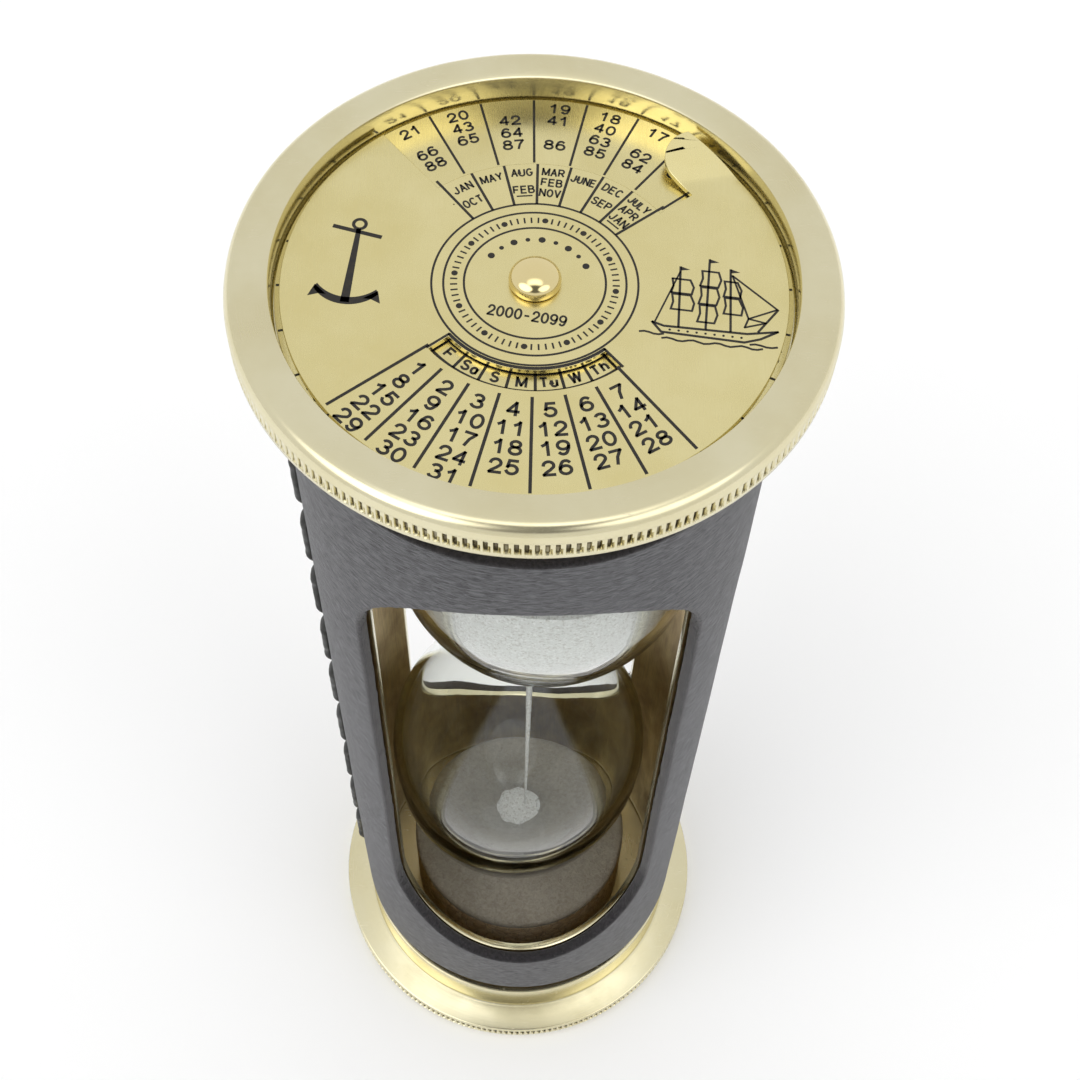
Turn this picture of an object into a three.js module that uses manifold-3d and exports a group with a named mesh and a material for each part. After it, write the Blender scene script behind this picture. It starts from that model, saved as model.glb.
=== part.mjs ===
// Sand timer with a turning calendar dial. Millimetres, +Z up, origin at the centre of the base.
// The windows face -Y and +Y, and the laced seam of the leather runs down the -X side.

import * as THREE from 'three';
import { mergeVertices } from 'three/addons/utils/BufferGeometryUtils.js';
import Module from 'manifold-3d';

// ---- driving dimensions -------------------------------------------------------------------------

const HEIGHT = 165;
const FLANGE_R = 30;
const FLANGE_H = 4.2;
const SHOULDER = 1.4;         // rounded edge between the flange's face and its rim
const KNURL_TOP = 1.6;        // the milled band starts this far below the face
const KNURL_BOTTOM = 3.4;
const KNURL_DEPTH = 0.15;
const RECESS_R = 25.6;
const RECESS_DEPTH = 3.5;
const WEB = 2;                // floor of the recess
const SKIRT_R = 25.6;
const SKIRT_END = 11;         // from the cap's face to the open end of its skirt

const TUBE_R = 24;
const TUBE_WALL = 1.1;
const LEATHER_R = 25.9;
const LEATHER = 1.8;
const LEATHER_LOW = 15.2;     // the sleeve leaves a little of the tube bare at both ends
const LEATHER_HIGH = 152.4;
const FIT = 0.1;              // clearance between pieces that seat on each other

const WINDOW_HALF = 18.9;     // half the width of the leather's window, outside
const WINDOW_FLARE = 0.952;   // its width inside, as a share of that outside
const WINDOW_LOW = 28.6;
const WINDOW_HIGH = 142.6;
const TUBE_WINDOW_HALF = 17.6;
const TUBE_LEDGE = 0.3;       // the tube shows this much at both ends of the leather's window

const STITCHES = 10;
const STITCH_PITCH = 13.3;
const STITCH_LENGTH = 9.8;
const STITCH_MIDDLE = 82.2;
const LACE_WIDTH = 2.4;
const LACE_THICK = 1.2;
const LACE_ROOM = 0.2;        // clearance round the lace in its holes

const DISC_R = 25.3;
const DISC_THICK = 0.7;
const SPACER_R = 4;
const SPACER_THICK = 0.2;
const DIAL_R = 24.75;
const DIAL_THICK = 0.6;
const DIAL_TURN = -7.7;       // degrees from -Y, where the dial's weekday window points at rest
const NOTCH_FLOOR = 15.5;
const NOTCH_HALF = 46.5;      // degrees
const DAYS_IN = 10.6;
const DAYS_OUT = 13;
const DAYS_FROM = -43.5;      // degrees
const DAYS_TO = 46.3;
const TAB_R = 3.2;
const TAB_AT = 22.9;
const TAB_TURN = 141.7;       // degrees from the weekday window
const TAB_ROOT = 10;          // degrees back from the tab's round end to inside the plate
const PIVOT_HOLE = 1.6;
const SHANK_R = 1.45;
const HEAD_R = 2.6;
const HEAD_H = 1.75;
const HEAD_EDGE = 1;            // straight edge under the head's dome
const WASHER_R = 4;
const WASHER_THICK = 0.5;
const TAIL_R = 2.4;
const TAIL_END_R = 1.7;
const TAIL_H = 0.8;

const NECK = [0.9, 1.5, 84.5]; // middle of the glass, which stands a little off the axis
const LEAN = 2.6;              // degrees, towards +X
const BULB_R = 19.1;
const BULB_WIDEST = 31;        // from the neck
const BULB_END = 65;
const NECK_R = 3.4;
const NECK_BORE = 0.9;
const GLASS_WALL = 1.4;
const GLASS_FOOT = 5;          // the lower bulb's wall at its closed end
const SHOULDER_POWER = 0.7;    // below 1, the bulb widens sooner after the neck
const FILL_R = 2.5;
const PLUG_R = 2.2;
const PLUG_CROWN_R = 1.5;
const GAP = 0.3;               // clearance between leaning pieces
const UPPER_LEVEL = 124;       // free surface of the sand in the upper bulb
const HEAP_TOP = 26.8;         // peak of the small heap in the lower bulb
const HEAP_SLOPE = 0.32;       // fall of the heap's cone for each millimetre outwards
const STREAM_R = 0.6;

const SEAT_R = 17.5;
const FELT = 1.7;
const LOWER_FELT_TOP = 21;
const UPPER_FELT_LOW = 148;
const SEAT_POCKET_R = 5;
const SEAT_POCKET = 2.2;

const ROUND = 48;              // facets on the large turned pieces
const DIAL_ROUND = 72;
const SEAT_ROUND = 40;
const BULB_ROUND = 28;
const SMALL_ROUND = 24;
const STREAM_ROUND = 8;
const CUT_PAST = 1;            // how far a cutter runs past what it cuts
const FLARE_REACH = 7;

// ---- shapes -------------------------------------------------------------------------------------

const wasm = await Module();
wasm.setup();
const radians = THREE.MathUtils.degToRad;

// A turned piece: its section is a list of [radius, height], counter-clockwise, axis along Z.
function turned(section, facets = ROUND) {
  const points = section.map(([r, z]) => new THREE.Vector2(r, z));
  return new THREE.LatheGeometry(points, facets).rotateX(Math.PI / 2);
}

// A turned piece whose section is a closed loop that stays off the axis.
const ring = (section, facets) => turned([...section, section[0]], facets);

const washer = (inner, outer, low, high, facets) =>
  ring([[inner, low], [outer, low], [outer, high], [inner, high]], facets);

const disc = (r, low, high, facets) => turned([[0, low], [r, low], [r, high], [0, high]], facets);

// A flat outline in X and Y, raised from one height to another.
function raised(shape, low, high, curveSegments = 16) {
  const settings = { depth: high - low, bevelEnabled: false, curveSegments };
  return new THREE.ExtrudeGeometry(shape, settings).translate(0, 0, low);
}

// An angle counted from -Y towards +X, as the angle from +X that three.js arcs use.
const arcAngle = (degrees) => radians(degrees - 90);

// A piece of a flat ring, from one angle to another.
function sector(inner, outer, from, to) {
  const shape = new THREE.Shape();
  shape.absarc(0, 0, outer, arcAngle(from), arcAngle(to), false);
  shape.absarc(0, 0, inner, arcAngle(to), arcAngle(from), true);
  shape.closePath();
  return shape;
}

// A window's outline, round at both ends.
function windowShape(half, low, high) {
  const shape = new THREE.Shape();
  shape.absarc(0, high - half, half, 0, Math.PI, false);
  shape.absarc(0, low + half, half, Math.PI, 2 * Math.PI, false);
  shape.closePath();
  return shape;
}

// A window's cutter that runs straight through both walls along Y.
const straightCutter = (shape) => raised(shape, -2 * FLANGE_R, 2 * FLANGE_R).rotateX(Math.PI / 2);

// A cutter for the front window of a wall, whose sides lean so that the window is narrower inside.
function flaredCutter(shape, inner, outer, flare) {
  const outline = shape.getPoints(16).slice(0, -1);
  const count = outline.length;
  const points = [[], []];
  for (const { x, y: z } of outline) {
    const near = new THREE.Vector3(x * flare, -Math.sqrt(inner ** 2 - (x * flare) ** 2), z);
    const far = new THREE.Vector3(x, -Math.sqrt(outer ** 2 - x ** 2), z);
    const way = far.clone().sub(near).normalize();
    points[0].push(near.addScaledVector(way, -FLARE_REACH));
    points[1].push(far.addScaledVector(way, 2 * FLARE_REACH));
  }
  const index = [];
  for (const [a, b, c] of THREE.ShapeUtils.triangulateShape(outline, [])) {
    index.push(c, b, a, a + count, b + count, c + count);
  }
  for (let i = 0; i < count; i += 1) {
    const j = (i + 1) % count;
    index.push(i, j, j + count, i, j + count, i + count);
  }
  return new THREE.BufferGeometry().setFromPoints(points.flat()).setIndex(index);
}

// ---- solids: closed meshes joined and cut with manifold-3d ---------------------------------------

function toSolid(geometry) {
  const bare = geometry.clone();
  bare.deleteAttribute('normal');
  bare.deleteAttribute('uv');
  const merged = mergeVertices(bare, 1e-4);
  const triVerts = [];
  const index = merged.index.array;
  for (let i = 0; i < index.length; i += 3) {
    const [a, b, c] = [index[i], index[i + 1], index[i + 2]];
    if (a !== b && b !== c && c !== a) triVerts.push(a, b, c);
  }
  return new wasm.Manifold(new wasm.Mesh({
    numProp: 3,
    vertProperties: new Float32Array(merged.attributes.position.array),
    triVerts: new Uint32Array(triVerts),
  }));
}

function toGeometry(solid) {
  const mesh = solid.getMesh();
  const geometry = new THREE.BufferGeometry();
  geometry.setAttribute('position', new THREE.BufferAttribute(new Float32Array(mesh.vertProperties), 3));
  geometry.setIndex(new THREE.BufferAttribute(new Uint32Array(mesh.triVerts), 1));
  geometry.computeVertexNormals();
  return geometry;
}

// ---- metalwork ----------------------------------------------------------------------------------

// A cap, with its face at height 0 and its skirt below. The bottom cap is the same piece turned over.
function cap(holeR) {
  const shoulder = [0, 1, 2, 3].map((step) => {
    const angle = (step / 3) * (Math.PI / 2);
    return [FLANGE_R - SHOULDER * (1 - Math.cos(angle)), -SHOULDER * (1 - Math.sin(angle))];
  });
  const floor = -RECESS_DEPTH - WEB;
  const section = [
    [holeR, floor],
    [TUBE_R + FIT, floor],
    [TUBE_R + FIT, -SKIRT_END],
    [SKIRT_R, -SKIRT_END],
    [SKIRT_R, -FLANGE_H],
    [FLANGE_R, -FLANGE_H],
    [FLANGE_R, -KNURL_BOTTOM],
    [FLANGE_R - KNURL_DEPTH, -KNURL_BOTTOM],
    [FLANGE_R - KNURL_DEPTH, -KNURL_TOP],
    ...shoulder,
    [RECESS_R, 0],
    [RECESS_R, -RECESS_DEPTH],
    [holeR, -RECESS_DEPTH],
  ];
  return holeR > 0 ? ring(section) : turned(section);
}

function bodyTube() {
  const end = RECESS_DEPTH + WEB + FIT;
  const tube = toSolid(washer(TUBE_R - TUBE_WALL, TUBE_R, end, HEIGHT - end));
  const shape = windowShape(TUBE_WINDOW_HALF, WINDOW_LOW + TUBE_LEDGE, WINDOW_HIGH - TUBE_LEDGE);
  return toGeometry(tube.subtract(toSolid(straightCutter(shape))));
}

function calendarDial(low) {
  const high = low + DIAL_THICK;
  const through = [low - CUT_PAST, high + CUT_PAST];
  const plate = toSolid(washer(PIVOT_HOLE, DIAL_R, low, high, DIAL_ROUND));
  const notchTurn = DIAL_TURN + 180;
  const notch = sector(NOTCH_FLOOR, DIAL_R + CUT_PAST, notchTurn - NOTCH_HALF, notchTurn + NOTCH_HALF);
  const days = sector(DAYS_IN, DAYS_OUT, DIAL_TURN + DAYS_FROM, DIAL_TURN + DAYS_TO);
  const [tabEnd, tabRoot] = [TAB_TURN, TAB_TURN - TAB_ROOT].map((turn) => {
    const angle = arcAngle(DIAL_TURN + turn);
    const middle = [TAB_AT * Math.cos(angle), TAB_AT * Math.sin(angle), 0];
    return toSolid(disc(TAB_R, low, high, SMALL_ROUND).translate(...middle));
  });
  const tab = wasm.Manifold.hull([tabEnd, tabRoot]);
  const solid = plate
    .subtract(toSolid(raised(notch, ...through)))
    .subtract(toSolid(raised(days, ...through)))
    .add(tab.intersect(toSolid(disc(DIAL_R, low, high, DIAL_ROUND))));
  return toGeometry(solid);
}

// The rivet's domed head stands over the dial; its tail is closed on a washer under the web.
function pivotRivet(headLow, tailTop) {
  const dome = [0, 1, 2, 3, 4].map((step) => {
    const angle = (step / 4) * (Math.PI / 2);
    return [HEAD_R * Math.cos(angle), headLow + HEAD_EDGE + (HEAD_H - HEAD_EDGE) * Math.sin(angle)];
  });
  dome[dome.length - 1][0] = 0;
  return turned([
    [0, tailTop - TAIL_H],
    [TAIL_END_R, tailTop - TAIL_H],
    [TAIL_R, tailTop],
    [SHANK_R, tailTop],
    [SHANK_R, headLow],
    [HEAD_R, headLow],
    ...dome,
  ], SMALL_ROUND);
}

// ---- leather and lace ---------------------------------------------------------------------------

// The lace runs up the -X side: long stitches outside, short ones inside, through slits in the leather.
function lacePath() {
  const outside = -(LEATHER_R + FIT + LACE_THICK / 2);
  const inside = -(LEATHER_R - LEATHER + FIT + LACE_THICK / 2);
  const half = STITCH_LENGTH / 2;
  const bend = 1.1;
  const points = [];
  for (let i = 0; i < STITCHES; i += 1) {
    const middle = STITCH_MIDDLE + (i - (STITCHES - 1) / 2) * STITCH_PITCH;
    points.push([inside, middle - half - bend / 2]);
    points.push([outside, middle - half + bend], [outside, middle], [outside, middle + half - bend]);
    points.push([inside, middle + half + bend / 2]);
  }
  const route = points.map(([x, z]) => new THREE.Vector3(x, 0, z));
  return new THREE.CatmullRomCurve3(route, false, 'centripetal');
}

// The lace, flat in section, or with room around it the passage that it needs.
function lace(room) {
  const x = LACE_WIDTH / 2 + room;
  const y = LACE_THICK / 2 + room;
  const soft = LACE_WIDTH / 2 - LACE_THICK / 4;
  const crest = [[x, 0], [soft, y], [-soft, y], [-x, 0], [-soft, -y], [soft, -y]];
  const shape = new THREE.Shape(crest.map(([across, out]) => new THREE.Vector2(across, out)));
  return new THREE.ExtrudeGeometry(shape, { extrudePath: lacePath(), steps: STITCHES * 8 });
}

function leatherSleeve() {
  const inner = LEATHER_R - LEATHER;
  const shape = windowShape(WINDOW_HALF, WINDOW_LOW, WINDOW_HIGH);
  const front = toSolid(flaredCutter(shape, inner, LEATHER_R, WINDOW_FLARE));
  const sleeve = toSolid(washer(inner, LEATHER_R, LEATHER_LOW, LEATHER_HIGH))
    .subtract(front)
    .subtract(front.rotate([0, 0, 180]))
    .subtract(toSolid(lace(LACE_ROOM)));
  return toGeometry(sleeve);
}

// ---- glass and sand -----------------------------------------------------------------------------

// Moves a piece from the glass's own frame, middle of the neck at 0, to its leaning place.
const stand = (geometry) => geometry.rotateY(radians(LEAN)).translate(...NECK);

// Radius of a bulb's wall at a distance from the neck, for a surface that lies inset inside the glass,
// and foot inside it at the closed end.
function bulbRadius(distance, inset, neckR, foot) {
  const widest = BULB_R - inset;
  if (distance <= BULB_WIDEST) {
    const rise = (distance / BULB_WIDEST) ** SHOULDER_POWER;
    return neckR + (widest - neckR) * (0.5 - 0.5 * Math.cos(Math.PI * rise));
  }
  const end = BULB_END - BULB_WIDEST - foot;
  return widest * Math.sqrt(Math.max(0, 1 - ((distance - BULB_WIDEST) / end) ** 2));
}

// Distances from the neck at which a bulb's outline gets a point, closer together at the closed end.
function bulbStations(foot) {
  const shoulder = [0, 2.5, 6, 11, 17, 24];
  const end = BULB_END - BULB_WIDEST - foot;
  const crown = [0, 1, 2, 3, 4, 5].map((step) => BULB_WIDEST + end * Math.sin((step / 5) * (Math.PI / 2)));
  return [...shoulder, ...crown];
}

// One bulb's outline from the neck to its closed end; side is 1 for the upper bulb, -1 for the lower.
const bulbOutline = (side, inset, neckR, foot = inset) =>
  bulbStations(foot).map((distance) => [bulbRadius(distance, inset, neckR, foot), side * distance]);

// Both bulbs' outline, from the bottom end up, leaving out what lies inside the fill hole.
function bothBulbs(inset, neckR, topR, foot = inset) {
  const lower = bulbOutline(-1, inset, neckR, foot).reverse();
  lower[0][0] = 0;
  const end = BULB_END - BULB_WIDEST - inset;
  const rim = BULB_WIDEST + end * Math.sqrt(1 - (topR / (BULB_R - inset)) ** 2);
  const upper = bulbOutline(1, inset, neckR).slice(1).filter(([, z]) => z < rim - GAP);
  return [...lower, ...upper, [topR, rim]];
}

function glassBulbs() {
  const outer = bothBulbs(0, NECK_R, FILL_R);
  const inner = bothBulbs(GLASS_WALL, NECK_BORE, FILL_R, GLASS_FOOT);
  return stand(turned([...outer, ...inner.reverse()], BULB_ROUND));
}

// The stopper in the fill hole, with a rounded head that stays under the bulb's crown.
function glassPlug() {
  const low = BULB_END - GLASS_WALL;
  const high = BULB_END - GAP;
  const section = [[0, low], [PLUG_R, low], [PLUG_R, high - 2 * GAP], [PLUG_CROWN_R, high], [0, high]];
  return stand(turned(section, SMALL_ROUND));
}

// What fills a bulb up to its inner wall, less the gap.
function bulbFill(side) {
  const inset = GLASS_WALL + GAP;
  const foot = side > 0 ? inset : GLASS_FOOT + GAP;
  const outline = bulbOutline(side, inset, NECK_BORE - GAP, foot);
  outline[outline.length - 1][0] = 0;
  const section = [[0, 0], ...outline];
  return toSolid(stand(turned(side > 0 ? section : section.reverse(), BULB_ROUND)));
}

function upperSand() {
  const aboveNeck = toSolid(disc(FLANGE_R, NECK[2] + GAP, UPPER_LEVEL));
  return toGeometry(bulbFill(1).intersect(aboveNeck));
}

// The heap under the stream: a low cone whose edge meets the glass.
function lowerSand() {
  const section = [[0, 0], [FLANGE_R, 0], [FLANGE_R, HEAP_TOP - HEAP_SLOPE * FLANGE_R], [0, HEAP_TOP]];
  const heap = turned(section, BULB_ROUND).translate(NECK[0], NECK[1], 0);
  return toGeometry(bulbFill(-1).intersect(toSolid(heap)));
}

function sandStream() {
  return disc(STREAM_R, HEAP_TOP + GAP, NECK[2], STREAM_ROUND).translate(NECK[0], NECK[1], 0);
}

// ---- seats for the glass ------------------------------------------------------------------------

// The outside of the glass, a gap larger, that dishes the seats.
function glassRoom() {
  const outline = [...bothBulbs(-GAP, NECK_R + GAP, FILL_R), [0, BULB_END + GAP]];
  return toSolid(stand(turned(outline, BULB_ROUND)));
}

const dished = (geometry) => toGeometry(toSolid(geometry).subtract(glassRoom()));

function upperSeat() {
  const high = HEIGHT - RECESS_DEPTH - WEB - FIT;
  return turned([
    [0, UPPER_FELT_LOW + FELT + FIT],
    [SEAT_R, UPPER_FELT_LOW + FELT + FIT],
    [SEAT_R, high],
    [SEAT_POCKET_R, high],
    [SEAT_POCKET_R, high - SEAT_POCKET],
    [0, high - SEAT_POCKET],
  ], SEAT_ROUND);
}

// ---- the assembly -------------------------------------------------------------------------------

const finishes = {
  brass: { color: 0xc9b87e, roughness: 0.3, metalness: 1 },
  satinBrass: { color: 0xd2c88f, roughness: 0.45, metalness: 1 },
  agedBrass: { color: 0x6f5a2e, roughness: 0.5, metalness: 1 },
  leather: { color: 0x46464a, roughness: 0.75, metalness: 0 },
  lace: { color: 0x23241c, roughness: 0.7, metalness: 0 },
  glass: { color: 0xe9efea, roughness: 0.05, metalness: 0, transparent: true, opacity: 0.35 },
  sand: { color: 0xe6e8e8, roughness: 0.95, metalness: 0 },
  felt: { color: 0xa9a194, roughness: 0.95, metalness: 0 },
  cork: { color: 0x9a7a54, roughness: 0.9, metalness: 0 },
};

const group = new THREE.Group();

function piece(name, geometry, finish) {
  const mesh = new THREE.Mesh(geometry, new THREE.MeshStandardMaterial(finishes[finish]));
  mesh.name = name;
  group.add(mesh);
  return mesh;
}

const discLow = HEIGHT - RECESS_DEPTH;
const spacerLow = discLow + DISC_THICK;
const dialLow = spacerLow + SPACER_THICK;
const washerTop = discLow - WEB;
const tailTop = washerTop - WASHER_THICK;
const webTop = RECESS_DEPTH + WEB;

piece('body_tube', bodyTube(), 'agedBrass');
piece('leather_sleeve', leatherSleeve(), 'leather');
piece('seam_lace', lace(0), 'lace');

piece('top_cap', cap(PIVOT_HOLE), 'brass').position.z = HEIGHT;
piece('bottom_cap', cap(0), 'brass').rotation.x = Math.PI;
piece('base_disc', disc(DISC_R, RECESS_DEPTH - DISC_THICK, RECESS_DEPTH), 'satinBrass');

piece('year_disc', washer(PIVOT_HOLE, DISC_R, discLow, discLow + DISC_THICK), 'satinBrass');
piece('dial_spacer', washer(PIVOT_HOLE, SPACER_R, spacerLow, dialLow, SMALL_ROUND), 'brass');
piece('calendar_dial', calendarDial(dialLow), 'satinBrass');
piece('pivot_rivet', pivotRivet(dialLow + DIAL_THICK + FIT, tailTop), 'brass');
piece('rivet_washer', washer(PIVOT_HOLE, WASHER_R, tailTop, washerTop, SMALL_ROUND), 'brass');

piece('glass_bulbs', glassBulbs(), 'glass');
piece('glass_plug', glassPlug(), 'glass');
piece('upper_sand', upperSand(), 'sand');
piece('sand_stream', sandStream(), 'sand');
piece('lower_sand', lowerSand(), 'sand');

piece('lower_seat', disc(SEAT_R, webTop + FIT, LOWER_FELT_TOP - FELT - FIT, SEAT_ROUND), 'cork');
piece('lower_felt', dished(disc(SEAT_R, LOWER_FELT_TOP - FELT, LOWER_FELT_TOP, SEAT_ROUND)), 'felt');
piece('upper_felt', dished(disc(SEAT_R, UPPER_FELT_LOW, UPPER_FELT_LOW + FELT, SEAT_ROUND)), 'felt');
piece('upper_seat', upperSeat(), 'cork');

export default group;
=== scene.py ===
# Looks of the sand timer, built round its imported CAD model. Lengths are in millimetres until a mesh is made.
# The frame is the part's own: +Z up, the windows on -Y and +Y, the laced seam on -X.
# Angles round the axis are in degrees, counted from -Y towards +X.

import math
import random

import bmesh
import bpy
from mathutils import Matrix, Vector, geometry, noise


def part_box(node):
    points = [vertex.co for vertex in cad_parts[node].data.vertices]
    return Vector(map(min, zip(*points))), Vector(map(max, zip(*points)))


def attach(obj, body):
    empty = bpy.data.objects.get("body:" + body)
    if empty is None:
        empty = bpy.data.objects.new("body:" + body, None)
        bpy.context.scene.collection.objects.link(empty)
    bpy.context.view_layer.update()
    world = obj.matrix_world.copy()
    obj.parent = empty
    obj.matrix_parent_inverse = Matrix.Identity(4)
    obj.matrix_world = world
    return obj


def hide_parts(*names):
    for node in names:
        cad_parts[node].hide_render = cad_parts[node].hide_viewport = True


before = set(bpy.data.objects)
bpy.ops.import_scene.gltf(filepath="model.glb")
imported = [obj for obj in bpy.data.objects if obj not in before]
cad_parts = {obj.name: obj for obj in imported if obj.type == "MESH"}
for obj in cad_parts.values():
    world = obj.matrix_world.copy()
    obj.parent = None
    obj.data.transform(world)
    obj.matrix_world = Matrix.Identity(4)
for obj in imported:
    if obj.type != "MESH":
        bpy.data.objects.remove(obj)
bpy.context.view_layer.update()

MM = 0.001
TURN = 2 * math.pi
chance = random.Random(11)


def low_high(node):
    """A CAD node's lowest and highest corners, in millimetres."""
    low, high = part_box(node)
    return low / MM, high / MM


# ---- sizes --------------------------------------------------------------------------------------

HEIGHT = low_high("top_cap")[1].z
FLANGE_R = low_high("top_cap")[1].x
CAP_H = HEIGHT - low_high("top_cap")[0].z
FLANGE_H = 4.2
SKIRT_R = 25.6
SHOULDER = 1.4
RECESS_R = 25.6
RECESS_DEPTH = HEIGHT - low_high("year_disc")[0].z
WEB = low_high("year_disc")[0].z - low_high("rivet_washer")[1].z
SLOTS = 204                  # slots of the milled band
SLOT_PARTS = 8               # columns of vertices for each slot
SLOT_DEPTH = 0.3
BAND_TOP = 1.6               # below the cap's face
BAND_LOW = 3.4

TUBE_R = low_high("body_tube")[1].x
TUBE_WALL = 1.1
LEATHER_R = low_high("leather_sleeve")[1].x
LEATHER = 1.8
WINDOW = (18.9, 28.6, 142.6)   # the leather's window outside: half its width, its lowest and highest point
WINDOW_FLARE = 0.952         # its width inside, as a share of that outside
TUBE_WINDOW = (17.6, 28.9, 142.3)

FIBRES = 150                 # loose fibres at each window
STITCHES = 10
STITCH_PITCH = 13.3
STITCH_LENGTH = 9.8
STITCH_MIDDLE = 82.2
LACE_WIDTH = 2.5
LACE_THICK = 1.25

DISC_TOP = low_high("year_disc")[1].z
DIAL_LOW = low_high("calendar_dial")[0].z
DIAL_TOP = low_high("calendar_dial")[1].z
DIAL_R = low_high("calendar_dial")[1].x
DIAL_TURN = -7.7
NOTCH_FLOOR = 15.5
NOTCH_HALF = 46.5
DAYS_IN = 10.6
DAYS_OUT = 13
DAYS_FROM = -43.5
DAYS_TO = 46.3
TAB_R = 3.2
TAB_AT = 22.9
TAB_TURN = 141.7
TAB_ROOT = 10
TAB_FOLD = (Vector((13.46, 14.74)), Vector((18.67, 16.43)))   # the line that the tab is bent up along
TAB_SLOPE = 0.2
PIVOT_HOLE = 1.6
COLUMN = 360 / 28            # one column of the calendar

NECK = Vector((0.9, 1.5, 84.5))
LEAN = math.radians(2.6)
BULB_R = 19.1
BULB_WIDEST = 31
BULB_END = 65
NECK_R = 3.4
NECK_BORE = 0.9
GLASS_WALL = 1.4
GLASS_FOOT = 5               # the lower bulb's wall at its closed end
SHOULDER_POWER = 0.7
FILL_R = 2.5
UPPER_LEVEL = low_high("upper_sand")[1].z
HEAP_TOP = low_high("lower_sand")[1].z


# ---- material nodes -----------------------------------------------------------------------------

def srgb(red, green, blue):
    """A colour given as it looks on a screen, 0 to 255, as the linear one that shaders use."""
    def linear(value):
        value /= 255
        return value / 12.92 if value <= 0.04045 else ((value + 0.055) / 1.055) ** 2.4
    return (linear(red), linear(green), linear(blue), 1)


class Nodes:
    """A node tree that is filled by short calls, each of which gives back a socket."""

    def __init__(self, owner, output):
        owner.use_nodes = True
        self.tree = owner.node_tree
        self.tree.nodes.clear()
        self.output = self.node(output)

    def node(self, kind, inputs=None, **settings):
        node = self.tree.nodes.new(kind)
        for key, value in settings.items():
            setattr(node, key, value)
        for socket, value in (inputs or {}).items():
            self.put(node.inputs[socket], value)
        return node

    def put(self, socket, value):
        if isinstance(value, bpy.types.NodeSocket):
            self.tree.links.new(value, socket)
        else:
            socket.default_value = value

    def maths(self, operation, first, second=0.0):
        return self.node("ShaderNodeMath", {0: first, 1: second}, operation=operation).outputs[0]

    def between(self, value, low, high, to_low=0.0, to_high=1.0, smooth=False):
        inputs = {"Value": value, "From Min": low, "From Max": high, "To Min": to_low, "To Max": to_high}
        kind = "SMOOTHSTEP" if smooth else "LINEAR"
        return self.node("ShaderNodeMapRange", inputs, interpolation_type=kind).outputs[0]


class Finish(Nodes):
    """A material, with the patterns that the finishes share."""

    def __init__(self, name):
        self.material = bpy.data.materials.new(name)
        super().__init__(self.material, "ShaderNodeOutputMaterial")

    def flat(self, scale=1):
        """Where a point is, in millimetres times scale, which is one number or three."""
        where = self.node("ShaderNodeTexCoord").outputs["Object"]
        factors = tuple(value / MM for value in (scale if isinstance(scale, tuple) else (scale,) * 3))
        return self.node("ShaderNodeMapping", {"Vector": where, "Scale": factors}).outputs[0]

    def around(self, scale=(1, 1, 1), arc_radius=25.0):
        """A point's radius, its way round as an arc, and its height, in millimetres times scale."""
        parts = self.node("ShaderNodeSeparateXYZ", {0: self.flat()}).outputs
        across = self.maths("POWER", parts[0], 2.0)
        along = self.maths("POWER", parts[1], 2.0)
        radius = self.maths("SQRT", self.maths("ADD", across, along))
        arc = self.maths("MULTIPLY", self.maths("ARCTAN2", parts[1], parts[0]), arc_radius * scale[1])
        joined = self.node("ShaderNodeCombineXYZ", {
            0: self.maths("MULTIPLY", radius, scale[0]), 1: arc, 2: self.maths("MULTIPLY", parts[2], scale[2]),
        })
        return joined.outputs[0]

    def noise(self, vector, scale=1.0, detail=3.0, roughness=0.5, distortion=0.0):
        inputs = {
            "Vector": vector, "Scale": scale, "Detail": detail, "Roughness": roughness, "Distortion": distortion,
        }
        return self.node("ShaderNodeTexNoise", inputs).outputs["Fac"]

    def cells(self, vector, scale=1.0, feature="F1", output="Distance"):
        inputs = {"Vector": vector, "Scale": scale}
        return self.node("ShaderNodeTexVoronoi", inputs, feature=feature).outputs[output]

    def mix(self, share, first, second):
        node = self.node("ShaderNodeMix", {0: share, 6: first, 7: second}, data_type="RGBA")
        return node.outputs[2]

    def bump(self, height, depth, below=None):
        """A bump whose height of 1 stands depth millimetres proud."""
        inputs = {"Height": height, "Distance": depth * MM, "Strength": 1.0}
        if below is not None:
            inputs["Normal"] = below
        return self.node("ShaderNodeBump", inputs).outputs[0]

    def surface(self, **inputs):
        named = {key.replace("_", " "): value for key, value in inputs.items()}
        shader = self.node("ShaderNodeBsdfPrincipled", named)
        self.tree.links.new(shader.outputs[0], self.output.inputs["Surface"])
        return shader


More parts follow.
